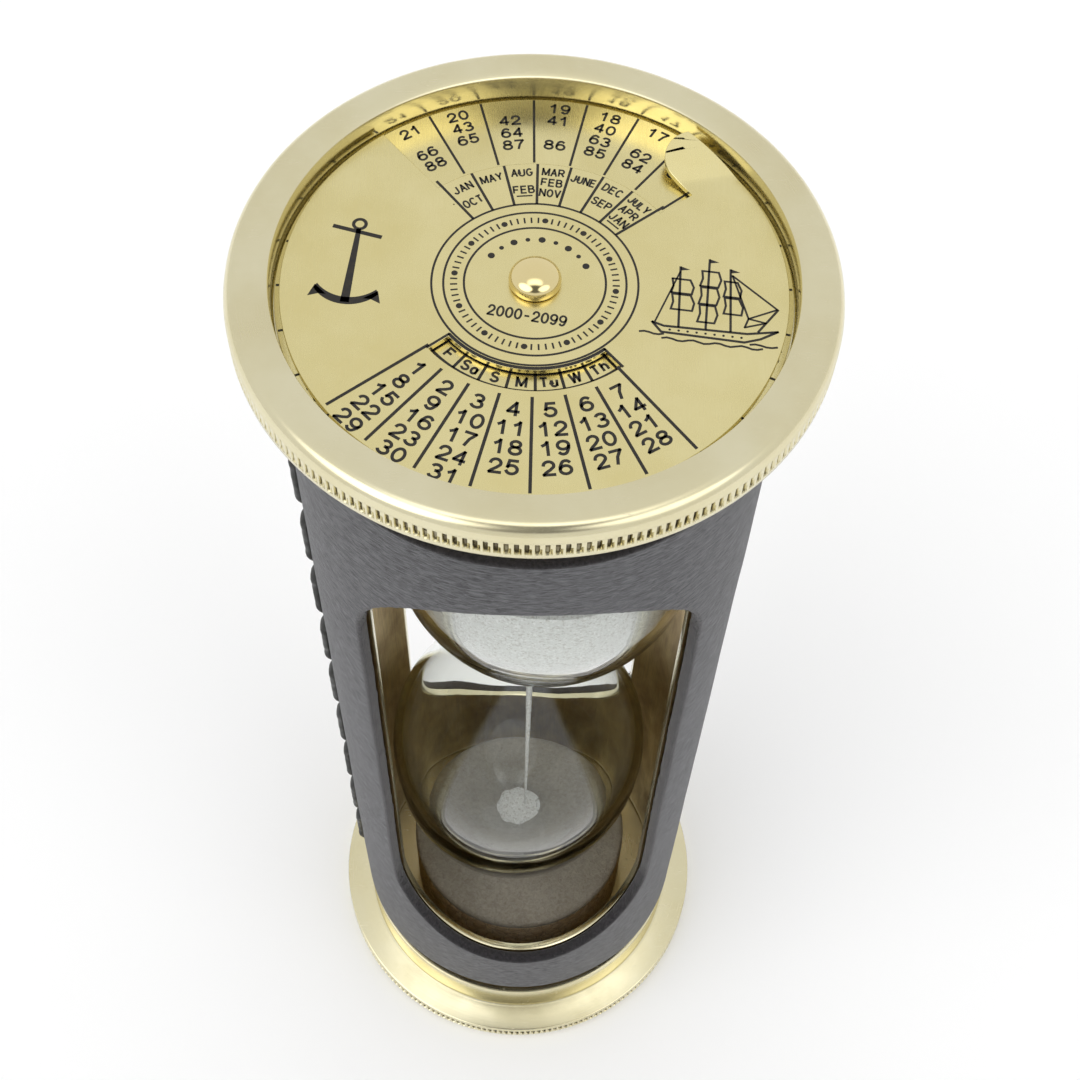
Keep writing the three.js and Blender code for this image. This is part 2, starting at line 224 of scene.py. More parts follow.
def lathe_brass(name, colour, dull, rough_low, rough_high, marks=0.0012, slots=False):
    """Turned brass: rings left by the lathe, cloudy wiping, a few hair scratches, and painted shade that darkens the
    floors of the band's slots.
    """
    f = Finish(name)
    rings = f.noise(f.around((9, 0.04, 9)), 1.0, 4.0, 0.6)
    cloud = f.noise(f.flat(0.09), 1.0, 4.0, 0.55)
    hairs = f.noise(f.flat((0.35, 6.0, 2.0)), 1.0, 2.0, 0.5, 1.5)
    scratched = f.between(hairs, 0.70, 0.74)
    tone = f.mix(f.between(cloud, 0.35, 0.7), colour, dull)
    if slots:
        # Painted shade: the floors of the milled band's slots are darkened by how deep they are cut, standing in for
        # the shade in the recesses.
        place = f.node("ShaderNodeSeparateXYZ", {0: f.around()}).outputs
        deep = f.between(place[0], FLANGE_R - SLOT_DEPTH, FLANGE_R - 0.1, 1.0, 0.0)
        from_middle = f.maths("ABSOLUTE", f.maths("SUBTRACT", place[2], HEIGHT / 2))
        from_band = f.maths("ABSOLUTE", f.maths("SUBTRACT", from_middle, HEIGHT / 2 - (BAND_TOP + BAND_LOW) / 2))
        in_band = f.between(from_band, 0.8, 0.95, 1.0, 0.0)
        outer = f.maths("GREATER_THAN", place[0], FLANGE_R - 0.6)
        slot_shade = f.maths("MULTIPLY", f.maths("MULTIPLY", deep, in_band), f.maths("MULTIPLY", outer, 0.92))
        tone = f.mix(slot_shade, tone, srgb(58, 46, 24))
    rough = f.between(f.maths("ADD", cloud, f.maths("MULTIPLY", rings, 0.5)), 0.5, 1.0, rough_low, rough_high)
    rough = f.maths("ADD", rough, f.maths("MULTIPLY", scratched, 0.12))
    height = f.maths("ADD", rings, f.maths("MULTIPLY", scratched, -0.8))
    f.surface(Base_Color=tone, Metallic=1.0, Roughness=rough, Normal=f.bump(height, marks))
    return f.material


def sheet_brass(name):
    """Satin brass sheet: faint straight brushing, small dark specks and scuffs."""
    f = Finish(name)
    brushing = f.noise(f.flat((11, 0.35, 1)), 1.0, 4.0, 0.6)
    cloud = f.noise(f.flat(0.12), 1.0, 4.0, 0.6)
    specks = f.cells(f.flat(), 0.42)
    speck = f.between(specks, 0.035, 0.05, 1.0, 0.0)
    rare = f.between(f.noise(f.flat(0.9), 1.0, 1.0), 0.56, 0.58)
    speck = f.maths("MULTIPLY", speck, rare)
    tone = f.mix(f.between(cloud, 0.3, 0.75), srgb(233, 222, 168), srgb(222, 209, 150))
    tone = f.mix(f.between(brushing, 0.3, 0.8, 0.0, 0.22), tone, srgb(205, 190, 128))
    tone = f.mix(f.maths("MULTIPLY", speck, 0.8), tone, srgb(64, 50, 24))
    rough = f.between(f.maths("ADD", brushing, cloud), 0.6, 1.4, 0.2, 0.34)
    f.surface(Base_Color=tone, Metallic=1.0, Roughness=rough, Normal=f.bump(brushing, 0.0016))
    return f.material


def aged_brass(name):
    """The tube: drawn along its length, browned and blotched."""
    f = Finish(name)
    drawn = f.noise(f.around((1, 3.5, 0.12)), 1.0, 3.0, 0.6)
    blotch = f.noise(f.flat((0.16, 0.16, 0.07)), 1.0, 5.0, 0.6, 0.4)
    tone = f.mix(f.between(blotch, 0.35, 0.68), srgb(196, 168, 100), srgb(138, 108, 56))
    tone = f.mix(f.between(drawn, 0.45, 0.8, 0.0, 0.5), tone, srgb(104, 80, 42))
    rough = f.between(blotch, 0.3, 0.7, 0.3, 0.5)
    f.surface(Base_Color=tone, Metallic=1.0, Roughness=rough, Normal=f.bump(drawn, 0.004))
    return f.material


def leather(name):
    """Black leather: fine fibrous creases that run round the sleeve, pores, greyed where it is rubbed."""
    f = Finish(name)
    where = f.around()
    bent = f.noise(where, 0.5, 2.0, 0.5)
    lift = f.maths("MULTIPLY", bent, 1.6)
    creased = f.node("ShaderNodeVectorMath", {
        0: f.around((1, 0.75, 3.4)), 1: f.node("ShaderNodeCombineXYZ", {2: lift}).outputs[0],
    }, operation="ADD").outputs[0]
    creases = f.noise(creased, 1.0, 5.0, 0.62, 0.6)
    pores = f.cells(f.around((1, 2.2, 3.4)), 1.0)
    rubbed = f.noise(f.around((0.05, 0.05, 0.035)), 1.0, 3.0, 0.5)
    tone = f.mix(f.between(creases, 0.36, 0.66), srgb(27, 27, 30), srgb(88, 88, 92))
    tone = f.mix(f.between(rubbed, 0.45, 0.75, 0.0, 0.35), tone, srgb(84, 84, 88))
    height = f.maths("ADD", creases, f.maths("MULTIPLY", f.between(pores, 0.0, 0.35), 0.25))
    rough = f.between(creases, 0.3, 0.7, 0.66, 0.52)
    f.surface(
        Base_Color=tone, Roughness=rough, Normal=f.bump(height, 0.11), Sheen_Weight=0.1, Sheen_Roughness=0.5,
    )
    return f.material


def raw_leather(name):
    """The cut edge of the leather: dark, matted fibres."""
    f = Finish(name)
    fibres = f.noise(f.flat(2.4), 1.0, 5.0, 0.7)
    tone = f.mix(f.between(fibres, 0.35, 0.7), srgb(16, 14, 16), srgb(52, 48, 52))
    f.surface(Base_Color=tone, Roughness=0.95, Normal=f.bump(fibres, 0.16), Sheen_Weight=0.3)
    return f.material


def waxed_lace(name):
    """A thong of dark olive leather, waxed, with strands along it."""
    f = Finish(name)
    strands = f.noise(f.flat((5.0, 5.0, 0.5)), 1.0, 4.0, 0.6)
    wax = f.noise(f.flat((0.5, 0.5, 0.35)), 1.0, 3.0)
    tone = f.mix(f.between(strands, 0.35, 0.7), srgb(10, 10, 8), srgb(30, 31, 25))
    rough = f.between(wax, 0.35, 0.7, 0.32, 0.6)
    f.surface(Base_Color=tone, Roughness=rough, Normal=f.bump(strands, 0.06))
    return f.material


def paint(name):
    """The black filling of the engraving, slightly uneven."""
    f = Finish(name)
    worn = f.noise(f.flat(1.5), 1.0, 4.0, 0.6)
    tone = f.mix(f.between(worn, 0.45, 0.8), srgb(16, 12, 5), srgb(46, 38, 20))
    f.surface(Base_Color=tone, Roughness=f.between(worn, 0.3, 0.7, 0.4, 0.6))
    return f.material


def blown_glass(name):
    """Clear glass that lets lamps through to the sand."""
    f = Finish(name)
    waves = f.noise(f.flat((0.12, 0.12, 0.05)), 1.0, 1.0)
    shader = f.surface(
        Base_Color=(0.97, 0.985, 0.965, 1), Roughness=0.0, IOR=1.45, Transmission_Weight=1.0,
        Normal=f.bump(waves, 0.08),
    )
    clear = f.node("ShaderNodeBsdfTransparent", {"Color": (0.94, 0.95, 0.93, 1)})
    path = f.node("ShaderNodeLightPath")
    either = f.node("ShaderNodeMixShader", {
        0: path.outputs["Is Shadow Ray"], 1: shader.outputs[0], 2: clear.outputs[0],
    })
    f.tree.links.new(either.outputs[0], f.output.inputs["Surface"])
    return f.material


def fine_sand(name):
    """White sand: pale grains, a few of them darker."""
    f = Finish(name)
    grains = f.cells(f.flat(), 4.5, output="Color")
    grain = f.node("ShaderNodeSeparateColor", {0: grains}).outputs[0]
    bed = f.noise(f.flat(), 2.5, 4.0, 0.7)
    tone = f.mix(f.between(grain, 0.0, 0.3), srgb(196, 194, 190), srgb(226, 227, 226))
    tone = f.mix(f.between(grain, 0.75, 1.0), tone, srgb(243, 244, 244))
    height = f.maths("ADD", f.cells(f.flat(), 4.5), f.maths("MULTIPLY", bed, 0.8))
    f.surface(Base_Color=tone, Roughness=0.9, Normal=f.bump(height, 0.07))
    return f.material


def wool_felt(name):
    """Pale felt: matted wool, slightly blotched."""
    f = Finish(name)
    wool = f.noise(f.flat(1.6), 1.0, 6.0, 0.72, 0.8)
    patch = f.noise(f.flat(0.14), 1.0, 3.0)
    tone = f.mix(f.between(wool, 0.35, 0.7), srgb(150, 143, 130), srgb(188, 181, 168))
    tone = f.mix(f.between(patch, 0.4, 0.75, 0.0, 0.35), tone, srgb(134, 124, 106))
    f.surface(Base_Color=tone, Roughness=1.0, Normal=f.bump(wool, 0.25), Sheen_Weight=0.4)
    return f.material


def pressed_cork(name):
    """Pressed cork: pale and dark flakes."""
    f = Finish(name)
    flakes = f.cells(f.flat(), 0.75, output="Color")
    flake = f.node("ShaderNodeSeparateColor", {0: flakes}).outputs[1]
    edges = f.cells(f.flat(), 0.75, "DISTANCE_TO_EDGE")
    tone = f.mix(flake, srgb(210, 190, 160), srgb(232, 216, 190))
    tone = f.mix(f.between(edges, 0.0, 0.08, 0.6, 0.0), tone, srgb(160, 138, 110))
    f.surface(Base_Color=tone, Roughness=0.85, Normal=f.bump(f.between(edges, 0.0, 0.15), 0.15))
    return f.material


POLISHED = lathe_brass("polished_brass", srgb(228, 221, 188), srgb(219, 210, 172), 0.14, 0.28, slots=True)
RIVET = lathe_brass("rivet_brass", srgb(238, 222, 170), srgb(230, 212, 154), 0.05, 0.1, 0.0004)
SATIN = sheet_brass("satin_brass")
AGED = aged_brass("aged_brass")
BLACK_LEATHER = leather("black_leather")
RAW_EDGE = raw_leather("raw_leather_edge")
LACE = waxed_lace("waxed_lace")
PAINT = paint("engraving_paint")
GLASS = blown_glass("clear_glass")
SAND = fine_sand("white_sand")
FELT = wool_felt("wool_felt")
CORK = pressed_cork("pressed_cork")


# ---- mesh helpers -------------------------------------------------------------------------------

def make_piece(name, vertices, faces, materials, body, nodes=(), sharp=35):
    """A mesh piece from vertices in millimetres; materials may be one, or several with faces' indices."""
    materials, indices = materials if isinstance(materials, tuple) else ([materials], None)
    mesh = bpy.data.meshes.new(name)
    mesh.from_pydata([Vector(v) * MM for v in vertices], [], faces)
    for material in materials:
        mesh.materials.append(material)
    if indices:
        mesh.polygons.foreach_set("material_index", indices)
    work = bmesh.new()
    work.from_mesh(mesh)
    bmesh.ops.recalc_face_normals(work, faces=work.faces)
    work.to_mesh(mesh)
    work.free()
    mesh.shade_smooth()
    mesh.set_sharp_from_angle(angle=math.radians(sharp))
    piece = bpy.data.objects.new(name, mesh)
    bpy.context.scene.collection.objects.link(piece)
    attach(piece, body)
    if nodes:
        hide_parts(*nodes)
    return piece


def bridge(first, second):
    """Faces between two rings of vertices. A ring may be one point, or finer than the other by a whole factor."""
    if len(first) > len(second):
        first, second = second, first
    count, fine = len(first), len(second)
    if count == 1:
        return [(first[0], second[i], second[(i + 1) % fine]) for i in range(fine)]
    step = fine // count
    faces = []
    for i in range(count):
        span = [second[k % fine] for k in range((i + 1) * step, i * step - 1, -1)]
        faces.append((first[i], first[(i + 1) % count], *span))
    return faces


def ring_points(radius, height, columns, change=None):
    """Points round the axis; change gives each column's own change of radius."""
    if radius == 0:
        return [(0, 0, height)]
    points = []
    for i in range(columns):
        angle = TURN * i / columns
        r = radius + (change(i) if change else 0)
        points.append((r * math.sin(angle), -r * math.cos(angle), height))
    return points


def skin(rings, closed):
    """Vertices and faces of a surface through rings of points, each ring to the next."""
    vertices, rows = [], []
    for ring in rings:
        rows.append(range(len(vertices), len(vertices) + len(ring)))
        vertices += ring
    following = rows[1:] + rows[:1] if closed else rows[1:]
    faces = [face for row, after in zip(rows, following) for face in bridge(row, after)]
    return vertices, faces


def turned(section, columns=128):
    """A turned solid. Its section, of (radius, height), closes on itself unless it starts on the axis."""
    closed = section[0][0] != 0
    return skin([ring_points(r, z, columns) for r, z in section], closed)


def rounded(corner, before, after, radius, steps=3):
    """Points of a round corner in a section, between the points before and after it."""
    corner, before, after = Vector(corner), Vector(before), Vector(after)
    start = corner + (before - corner).normalized() * radius
    end = corner + (after - corner).normalized() * radius
    points = []
    for k in range(steps + 1):
        t = k / steps
        points.append(tuple((1 - t) ** 2 * start + 2 * t * (1 - t) * corner + t ** 2 * end))
    return points


def eased(section, radius, steps=2):
    """A section whose corners are all rounded, except the points on the axis."""
    result = []
    count = len(section)
    for i, corner in enumerate(section):
        if corner[0] == 0:
            result.append(corner)
        else:
            result += rounded(corner, section[i - 1], section[(i + 1) % count], radius, steps)
    return result


# ---- caps ---------------------------------------------------------------------------------------

def slot_cut(deep, shallow):
    """How far each column of the milled band is cut in: a full slot, then a short narrow one beside it."""
    uneven = [chance.uniform(0.8, 1.1) for _ in range(SLOTS)]

    def change(i):
        part = i % SLOT_PARTS
        cut = deep if part in (0, 1, 2) else shallow if part == 4 else 0
        return -cut * uneven[i // SLOT_PARTS]
    return change


def cap_rings(hole_r):
    """Rings of a cap from the recess floor over the flange and skirt, its face at height 0."""
    floor = -RECESS_DEPTH - WEB
    fine = SLOTS * SLOT_PARTS
    shoulder = []
    for k in range(9):
        angle = (k / 8) * math.pi / 2
        out = FLANGE_R - 0.05 - SHOULDER * (1 - math.sin(angle))
        shoulder.append((out, -SHOULDER * (1 - math.cos(angle))))
    top = [
        (hole_r, -RECESS_DEPTH), (RECESS_R - 0.15, -RECESS_DEPTH), (RECESS_R, -RECESS_DEPTH + 0.15),
        (RECESS_R, -0.3), (RECESS_R + 0.08, -0.1), (RECESS_R + 0.28, 0), *shoulder,
        (FLANGE_R, -SHOULDER - 0.08),
    ]
    low = [
        (FLANGE_R, -FLANGE_H + 0.3), (FLANGE_R - 0.1, -FLANGE_H + 0.08), (FLANGE_R - 0.3, -FLANGE_H),
        (SKIRT_R + 0.5, -FLANGE_H), (SKIRT_R + 0.12, -FLANGE_H - 0.1), (SKIRT_R, -FLANGE_H - 0.45),
        (SKIRT_R, -CAP_H + 0.3), (SKIRT_R - 0.1, -CAP_H + 0.07), (SKIRT_R - 0.32, -CAP_H),
        (TUBE_R + 0.3, -CAP_H), (TUBE_R + 0.1, -CAP_H + 0.2), (TUBE_R + 0.1, floor), (hole_r, floor),
    ]
    full, both = slot_cut(SLOT_DEPTH, 0), slot_cut(SLOT_DEPTH, SLOT_DEPTH * 0.7)
    band = [
        (BAND_TOP, None), (BAND_TOP + 0.1, full), (BAND_TOP + 0.7, full), (BAND_TOP + 0.8, both),
        (BAND_LOW - 0.1, both), (BAND_LOW, None),
    ]
    rings = [ring_points(r, z, SLOTS) for r, z in top]
    rings += [ring_points(FLANGE_R, -z, fine, change) for z, change in band]
    rings += [ring_points(r, z, SLOTS) for r, z in low]
    return rings


def make_cap(name, node, hole_r, place):
    """place moves a point of the cap, drawn with its face at height 0, to where it goes."""
    vertices, faces = skin(cap_rings(hole_r), hole_r > 0)
    return make_piece(name, [place(v) for v in vertices], faces, POLISHED, "root", [node], 30)


make_cap("top_cap_turned", "top_cap", PIVOT_HOLE, lambda v: (v[0], v[1], HEIGHT + v[2]))
make_cap("bottom_cap_turned", "bottom_cap", 0, lambda v: (v[0], -v[1], -v[2]))


# ---- tube and sleeve: walls with two round-ended windows ----------------------------------------

ARC = 120                    # columns of vertices across a window
LOW_ROWS = 24
MIDDLE_ROWS = 64
SEAM_SHARES = (0.005, 0.01, 0.018)
SIDE_SHARES = sorted(
    [k / 36 for k in range(1, 36)] + [0.5 + sign * share for share in SEAM_SHARES for sign in (-1, 1)]
)


def wall(radius, across, up, centres, low, high):
    """Vertices of a wall as a grid of columns, with None where a window leaves no vertex.

    across and up are half the width of the window's round ends and their height, whose middles are the centres.
    """
    edge = math.asin(across / radius)
    columns = []
    for start in (0, math.pi):
        for k in range(ARC + 1):
            swing = math.pi * (k / ARC - 0.5)
            columns.append((start + math.asin(across * math.sin(swing) / radius), swing))
        columns += [(start + edge + (math.pi - 2 * edge) * share, None) for share in SIDE_SHARES]
    vertices, grid = [], []
    for angle, swing in columns:
        drop = up * math.cos(swing) if swing is not None else 0
        whole = swing is None or abs(math.cos(swing)) < 1e-6
        bottom, top = centres[0] - drop, centres[1] + drop
        heights = [low + (bottom - low) * k / LOW_ROWS for k in range(LOW_ROWS + 1)]
        middle = [bottom + (top - bottom) * k / MIDDLE_ROWS for k in range(1, MIDDLE_ROWS)]
        heights += middle if whole else [None] * len(middle)
        heights += [top + (high - top) * k / LOW_ROWS for k in range(LOW_ROWS + 1)]
        column = []
        for height in heights:
            column.append(None if height is None else len(vertices))
            if height is not None:
                vertices.append((radius * math.sin(angle), -radius * math.cos(angle), height))
        grid.append(column)
    return vertices, grid


def grid_faces(grid, shift):
    faces = []
    for column, after in zip(grid, grid[1:] + grid[:1]):
        for k in range(len(column) - 1):
            corners = (column[k], after[k], after[k + 1], column[k + 1])
            if None not in corners:
                faces.append(tuple(corner + shift for corner in corners))
    return faces


def window_rings(grid, shift):
    """The vertices round each window, front and rear, in order."""
    rings = []
    low, high = LOW_ROWS, LOW_ROWS + MIDDLE_ROWS
    for first in (0, len(grid) // 2):
        last = first + ARC
        ring = [grid[c][low] for c in range(first, last + 1)]
        ring += [grid[last][k] for k in range(low + 1, high)]
        ring += [grid[c][high] for c in range(last, first - 1, -1)]
        ring += [grid[first][k] for k in range(high - 1, low, -1)]
        rings.append([v + shift for v in ring])
    return rings


def windowed_shell(inner, outer, low, high, window, flare, edge, steps=3):
    """A tube with two windows and eased edges. Gives vertices, faces, and how many of the faces are its walls."""
    half, window_low, window_high = window
    centres = (window_low + half, window_high - half)

    def layer(radius, inset):
        share = flare + (1 - flare) * (radius - inner) / (outer - inner)
        return wall(radius, half * share + inset, half + inset, centres, low + inset, high - inset)

    vertices, faces = [], []
    borders = []
    for radius in (outer, inner):
        points, grid = layer(radius, edge)
        shift = len(vertices)
        vertices += points
        faces += grid_faces(grid, shift)
        bottom = [column[0] + shift for column in grid]
        top = [column[-1] + shift for column in grid]
        borders.append([*window_rings(grid, shift), bottom, top])
    walls = len(faces)
    turns = [math.pi / 2 * k / steps for k in range(1, steps + 1)]
    corner = [(edge * (1 - math.sin(turn)), edge * (1 - math.cos(turn))) for turn in turns]
    profile = [(inset, outer - drop) for inset, drop in corner]
    profile += [(inset, inner + drop) for inset, drop in reversed(corner)]
    rims = []
    for inset, radius in profile:
        points, grid = layer(radius, inset)
        keep = [*window_rings(grid, 0), [column[0] for column in grid], [column[-1] for column in grid]]
        ids = []
        for ring in keep:
            ids.append(list(range(len(vertices), len(vertices) + len(ring))))
            vertices += [points[v] for v in ring]
        rims.append(ids)
    for border in range(4):
        rows = [borders[0][border], *(ids[border] for ids in rims), borders[1][border]]
        for row, after in zip(rows, rows[1:]):
            faces += bridge(row, after)
    return vertices, faces, walls


def make_tube():
    low, high = low_high("body_tube")
    vertices, faces, walls = windowed_shell(
        TUBE_R - TUBE_WALL, TUBE_R, low.z, high.z, TUBE_WINDOW, 1, 0.12, 2,
    )
    indices = [0] * walls + [1] * (len(faces) - walls)
    make_piece(
        "windowed_tube", vertices, faces, ([AGED, POLISHED], indices), "root", ["body_tube"],
    )


def stitch_middles():
    return [STITCH_MIDDLE + (k - (STITCHES - 1) / 2) * STITCH_PITCH for k in range(STITCHES)]


def sleeve_dent(x, y, z):
    """How far the sleeve's outside is pulled in: the seam's groove, and a pucker at each end of a stitch."""
    if x > 0:
        return 0
    across = abs(y)
    dent = 0.5 * max(0, 1 - across / 0.42)
    for middle in stitch_middles():
        for end in (-1, 1):
            away = math.hypot(y / 2.2, (z - middle - end * (STITCH_LENGTH / 2 + 0.3)) / 1.5)
            dent = max(dent, 0.75 * math.exp(-away * away * 1.6))
    return dent


def make_sleeve():
    low, high = low_high("leather_sleeve")
    inner, edge = LEATHER_R - LEATHER, 0.38
    vertices, faces, walls = windowed_shell(inner, LEATHER_R, low.z, high.z, WINDOW, WINDOW_FLARE, edge, 4)
    shaped = []
    for x, y, z in vertices:
        radius = math.hypot(x, y)
        outside = radius > LEATHER_R - 0.05
        soft = 0.12 * noise.noise(Vector((x, y, z)) * 0.09) if radius > inner + 0.1 else 0
        frayed = 0.1 * noise.noise(Vector((x, y, z)) * 1.9) if inner + 0.1 < radius < LEATHER_R - 0.05 else 0
        grown = radius + soft + frayed - (sleeve_dent(x, y, z) if outside else 0)
        rim = Vector((0, 0, 0))
        if inner + 0.05 < radius < LEATHER_R - 0.03 and low.z + 1 < z < high.z - 1:
            rim = Vector((noise.noise(Vector((x, z, 3)) * 1.7), 0, noise.noise(Vector((z, x, 9)) * 1.7))) * 0.16
        shaped.append((x * grown / radius + rim.x, y * grown / radius, z + rim.z))
    indices = [0] * walls + [1] * (len(faces) - walls)
    wrap = make_piece(
        "leather_wrap", shaped, faces, ([BLACK_LEATHER, RAW_EDGE], indices), "root",
        ["leather_sleeve"], 60,
    )


def hair(root, heading, length, radius, bend):
    """A fibre as a thin three-sided tube that curls towards bend and ends in a point."""
    rings, here, way = [], Vector(root), Vector(heading).normalized()
    for k in range(6):
        side = way.orthogonal().normalized()
        other = way.cross(side)
        thick = radius * (1 - k / 6)
        rings.append([
            tuple(here + thick * (math.cos(TURN * j / 3) * side + math.sin(TURN * j / 3) * other))
            for j in range(3)
        ])
        here = here + way * length / 6
        way = (way + Vector(bend) * 0.25).normalized()
    return [[tuple(root)], *rings, [tuple(here)]]


def make_fibres():
    """Loose fibres along the cut edges of the windows."""
    vertices, faces = [], []
    for side in (-1, 1):
        for _ in range(FIBRES):
            top = chance.random() < 0.62
            swing = chance.uniform(-1.45, 1.45)
            half, low, high = WINDOW
            radius = LEATHER_R - chance.uniform(0.15, 1.2)
            share = 1 - (1 - WINDOW_FLARE) * (LEATHER_R - radius) / LEATHER
            across = half * share * math.sin(swing)
            rise = half * math.cos(swing)
            centre = high - half + rise if top else low + half - rise
            root = Vector((across, side * math.sqrt(radius ** 2 - across ** 2), centre))
            inward = Vector((-math.sin(swing), 0, -math.cos(swing) if top else math.cos(swing)))
            wild = Vector([chance.uniform(-1, 1) for _ in range(3)])
            rings = hair(root, inward + wild * 0.7, chance.uniform(0.25, 0.85), 0.035, wild)
            points, loops = skin(rings, False)
            shift = len(vertices)
            vertices += points
            faces += [tuple(v + shift for v in loop) for loop in loops]
    make_piece("edge_fibres", vertices, faces, RAW_EDGE, "root")


def smooth_route(points, steps):
    """Points on a smooth curve through the given ones."""
    route = []
    padded = [points[0], *points, points[-1]]
    for a, b, c, d in zip(padded, padded[1:], padded[2:], padded[3:]):
        for k in range(steps):
            t = k / steps
            route.append(0.5 * (
                2 * b + (c - a) * t + (2 * a - 5 * b + 4 * c - d) * t ** 2 + (3 * b - a - 3 * c + d) * t ** 3
            ))
    return [*route, points[-1]]


def make_lace():
    """One flat thong: long stitches outside the seam, short ones inside, tucked into the slits."""
    out = LEATHER_R + LACE_THICK / 2 + 0.1
    within = LEATHER_R - LEATHER + LACE_THICK / 2 + 0.1
    points = []
    for middle in stitch_middles():
        half = STITCH_LENGTH / 2
        sway = chance.uniform(-0.12, 0.12)
        points.append(Vector((-within, 0, middle - half - 0.55)))
        for share in (-0.8, -0.45, 0, 0.45, 0.8):
            bow = 0.2 * (1 - share * share)
            points.append(Vector((-out - bow + 0.3, sway * (1 - abs(share)), middle + half * share)))
        points.append(Vector((-within, 0, middle + half + 0.55)))
    route = smooth_route(points, 6)
    rings = []
    for k, here in enumerate(route):
        way = (route[min(k + 1, len(route) - 1)] - route[max(k - 1, 0)]).normalized()
        thick = way.cross(Vector((0, 1, 0))).normalized()
        full = 1 + 0.07 * noise.noise(here * 0.8)
        ring = []
        for j in range(16):
            angle = TURN * j / 16
            c, s = math.cos(angle), math.sin(angle)
            x = LACE_WIDTH / 2 * full * math.copysign(abs(c) ** 0.7, c)
            y = LACE_THICK / 2 * full * math.copysign(abs(s) ** 0.8, s)
            ring.append(tuple(here + Vector((0, 1, 0)) * x + thick * y))
        rings.append(ring)
    rings = [[tuple(route[0])], *rings, [tuple(route[-1])]]
    vertices, faces = skin(rings, False)
    make_piece("stitched_lace", vertices, faces, LACE, "root", ["seam_lace"], 60)


make_tube()
make_sleeve()
make_fibres()
make_lace()


# ---- glass and sand -----------------------------------------------------------------------------

def stand(point):
    """Moves a point from the glass's own frame, with the neck's middle at 0, to its leaning place."""
    return tuple(Matrix.Rotation(LEAN, 3, "Y") @ Vector(point) + NECK)


def bulb_radius(distance, inset, neck_r, foot):
    widest = BULB_R - inset
    if distance <= BULB_WIDEST:
        rise = (distance / BULB_WIDEST) ** SHOULDER_POWER
        return neck_r + (widest - neck_r) * (0.5 - 0.5 * math.cos(math.pi * rise))
    end = BULB_END - BULB_WIDEST - foot
    return widest * math.sqrt(max(0, 1 - ((distance - BULB_WIDEST) / end) ** 2))


def bulb_outline(side, inset, neck_r, top_r, foot=None):
    """(radius, height) from the neck to the bulb's end, or to where it has narrowed to top_r.

    The surface lies inset inside the glass, and foot inside it at the closed end.
    """
    foot = inset if foot is None else foot
    end = BULB_END - BULB_WIDEST - foot
    last = math.acos(min(1, top_r / (BULB_R - inset)))
    stations = [BULB_WIDEST * (k / 26) ** 1.4 for k in range(26)]
    stations += [BULB_WIDEST + end * math.sin(last * k / 26) for k in range(27)]
    outline = [(bulb_radius(d, inset, neck_r, foot), side * d) for d in stations]
    outline[-1] = (top_r, outline[-1][1])
    return outline


def make_glass():
    def both(inset, neck_r, foot):
        lower = bulb_outline(-1, inset, neck_r, 0, foot)
        return [*lower[::-1], *bulb_outline(1, inset, neck_r, FILL_R)[1:]]
    section = [*both(0, NECK_R, 0), *both(GLASS_WALL, NECK_BORE, GLASS_FOOT)[::-1]]
    vertices, faces = skin([ring_points(r, z, 128) for r, z in section], False)
    make_piece(
        "blown_bulbs", [stand(v) for v in vertices], faces, GLASS, "root", ["glass_bulbs"], 50,
    )
    low, high = BULB_END - GLASS_WALL, BULB_END - 0.3
    plug = eased([(0, low), (2.2, low), (2.2, high - 0.3), (1.5, high), (0, high)], 0.12)
    vertices, faces = turned(plug, 48)
    make_piece(
        "fill_plug", [stand(v) for v in vertices], faces, GLASS, "root", ["glass_plug"],
    )


def sand_body(side, surface):
    """Sand that fills a bulb from its lower end up to a free surface; surface gives its height at x, y."""
    columns, inset = 96, GLASS_WALL + 0.08
    foot = inset if side > 0 else GLASS_FOOT + 0.08
    outline = bulb_outline(side, inset, NECK_BORE - 0.08, 0, foot)
    if side < 0:
        outline = outline[::-1]
    walls = []
    for k in range(columns):
        angle = TURN * k / columns
        column = []
        for r, z in outline:
            point = Vector(stand((r * math.sin(angle), -r * math.cos(angle), z)))
            level = surface(point.x, point.y)
            if point.z >= level:
                before = column[-1]
                share = (level - before.z) / (point.z - before.z)
                column.append(before.lerp(point, share))
                break
            column.append(point)
        walls.append(column)
    rows = 30
    rings = []
    foot = Vector(stand((0, 0, outline[0][1])))
    rings.append([tuple(foot)])
    for k in range(1, rows + 1):
        ring = []
        for column in walls:
            place = (len(column) - 1) * (k / rows)
            i = min(int(place), len(column) - 2)
            ring.append(tuple(column[i].lerp(column[i + 1], place - i)))
        rings.append(ring)
    rim = [column[-1] for column in walls]
    centre = sum(rim, Vector()) / columns
    for k in range(1, 28):
        share = 1 - (k / 28) ** 0.9
        ring = []
        for point in rim:
            x, y = (centre + (point - centre) * share).xy
            ring.append((x, y, surface(x, y)))
        rings.append(ring)
    rings.append([(centre.x, centre.y, surface(centre.x, centre.y))])
    return skin(rings, False)


def ripple(x, y, size):
    return size * noise.noise(Vector((x, y, 2)) * 0.55) + size * 0.4 * noise.noise(Vector((x, y, 5)) * 2.1)


def upper_surface(x, y):
    """Nearly level, with a funnel over the neck where it drains."""
    away = math.hypot(x - NECK.x - 1.7, y - NECK.y)
    return UPPER_LEVEL - 3.4 * max(0, 1 - away / 9) ** 1.3 + ripple(x, y, 0.12) - 0.2


def lower_surface(x, y):
    """A low cone under the stream."""
    away = math.hypot(x - NECK.x, y - NECK.y)
    return HEAP_TOP - 0.2 - 0.3 * math.sqrt(away ** 2 + 1.2) + ripple(x, y, 0.01)


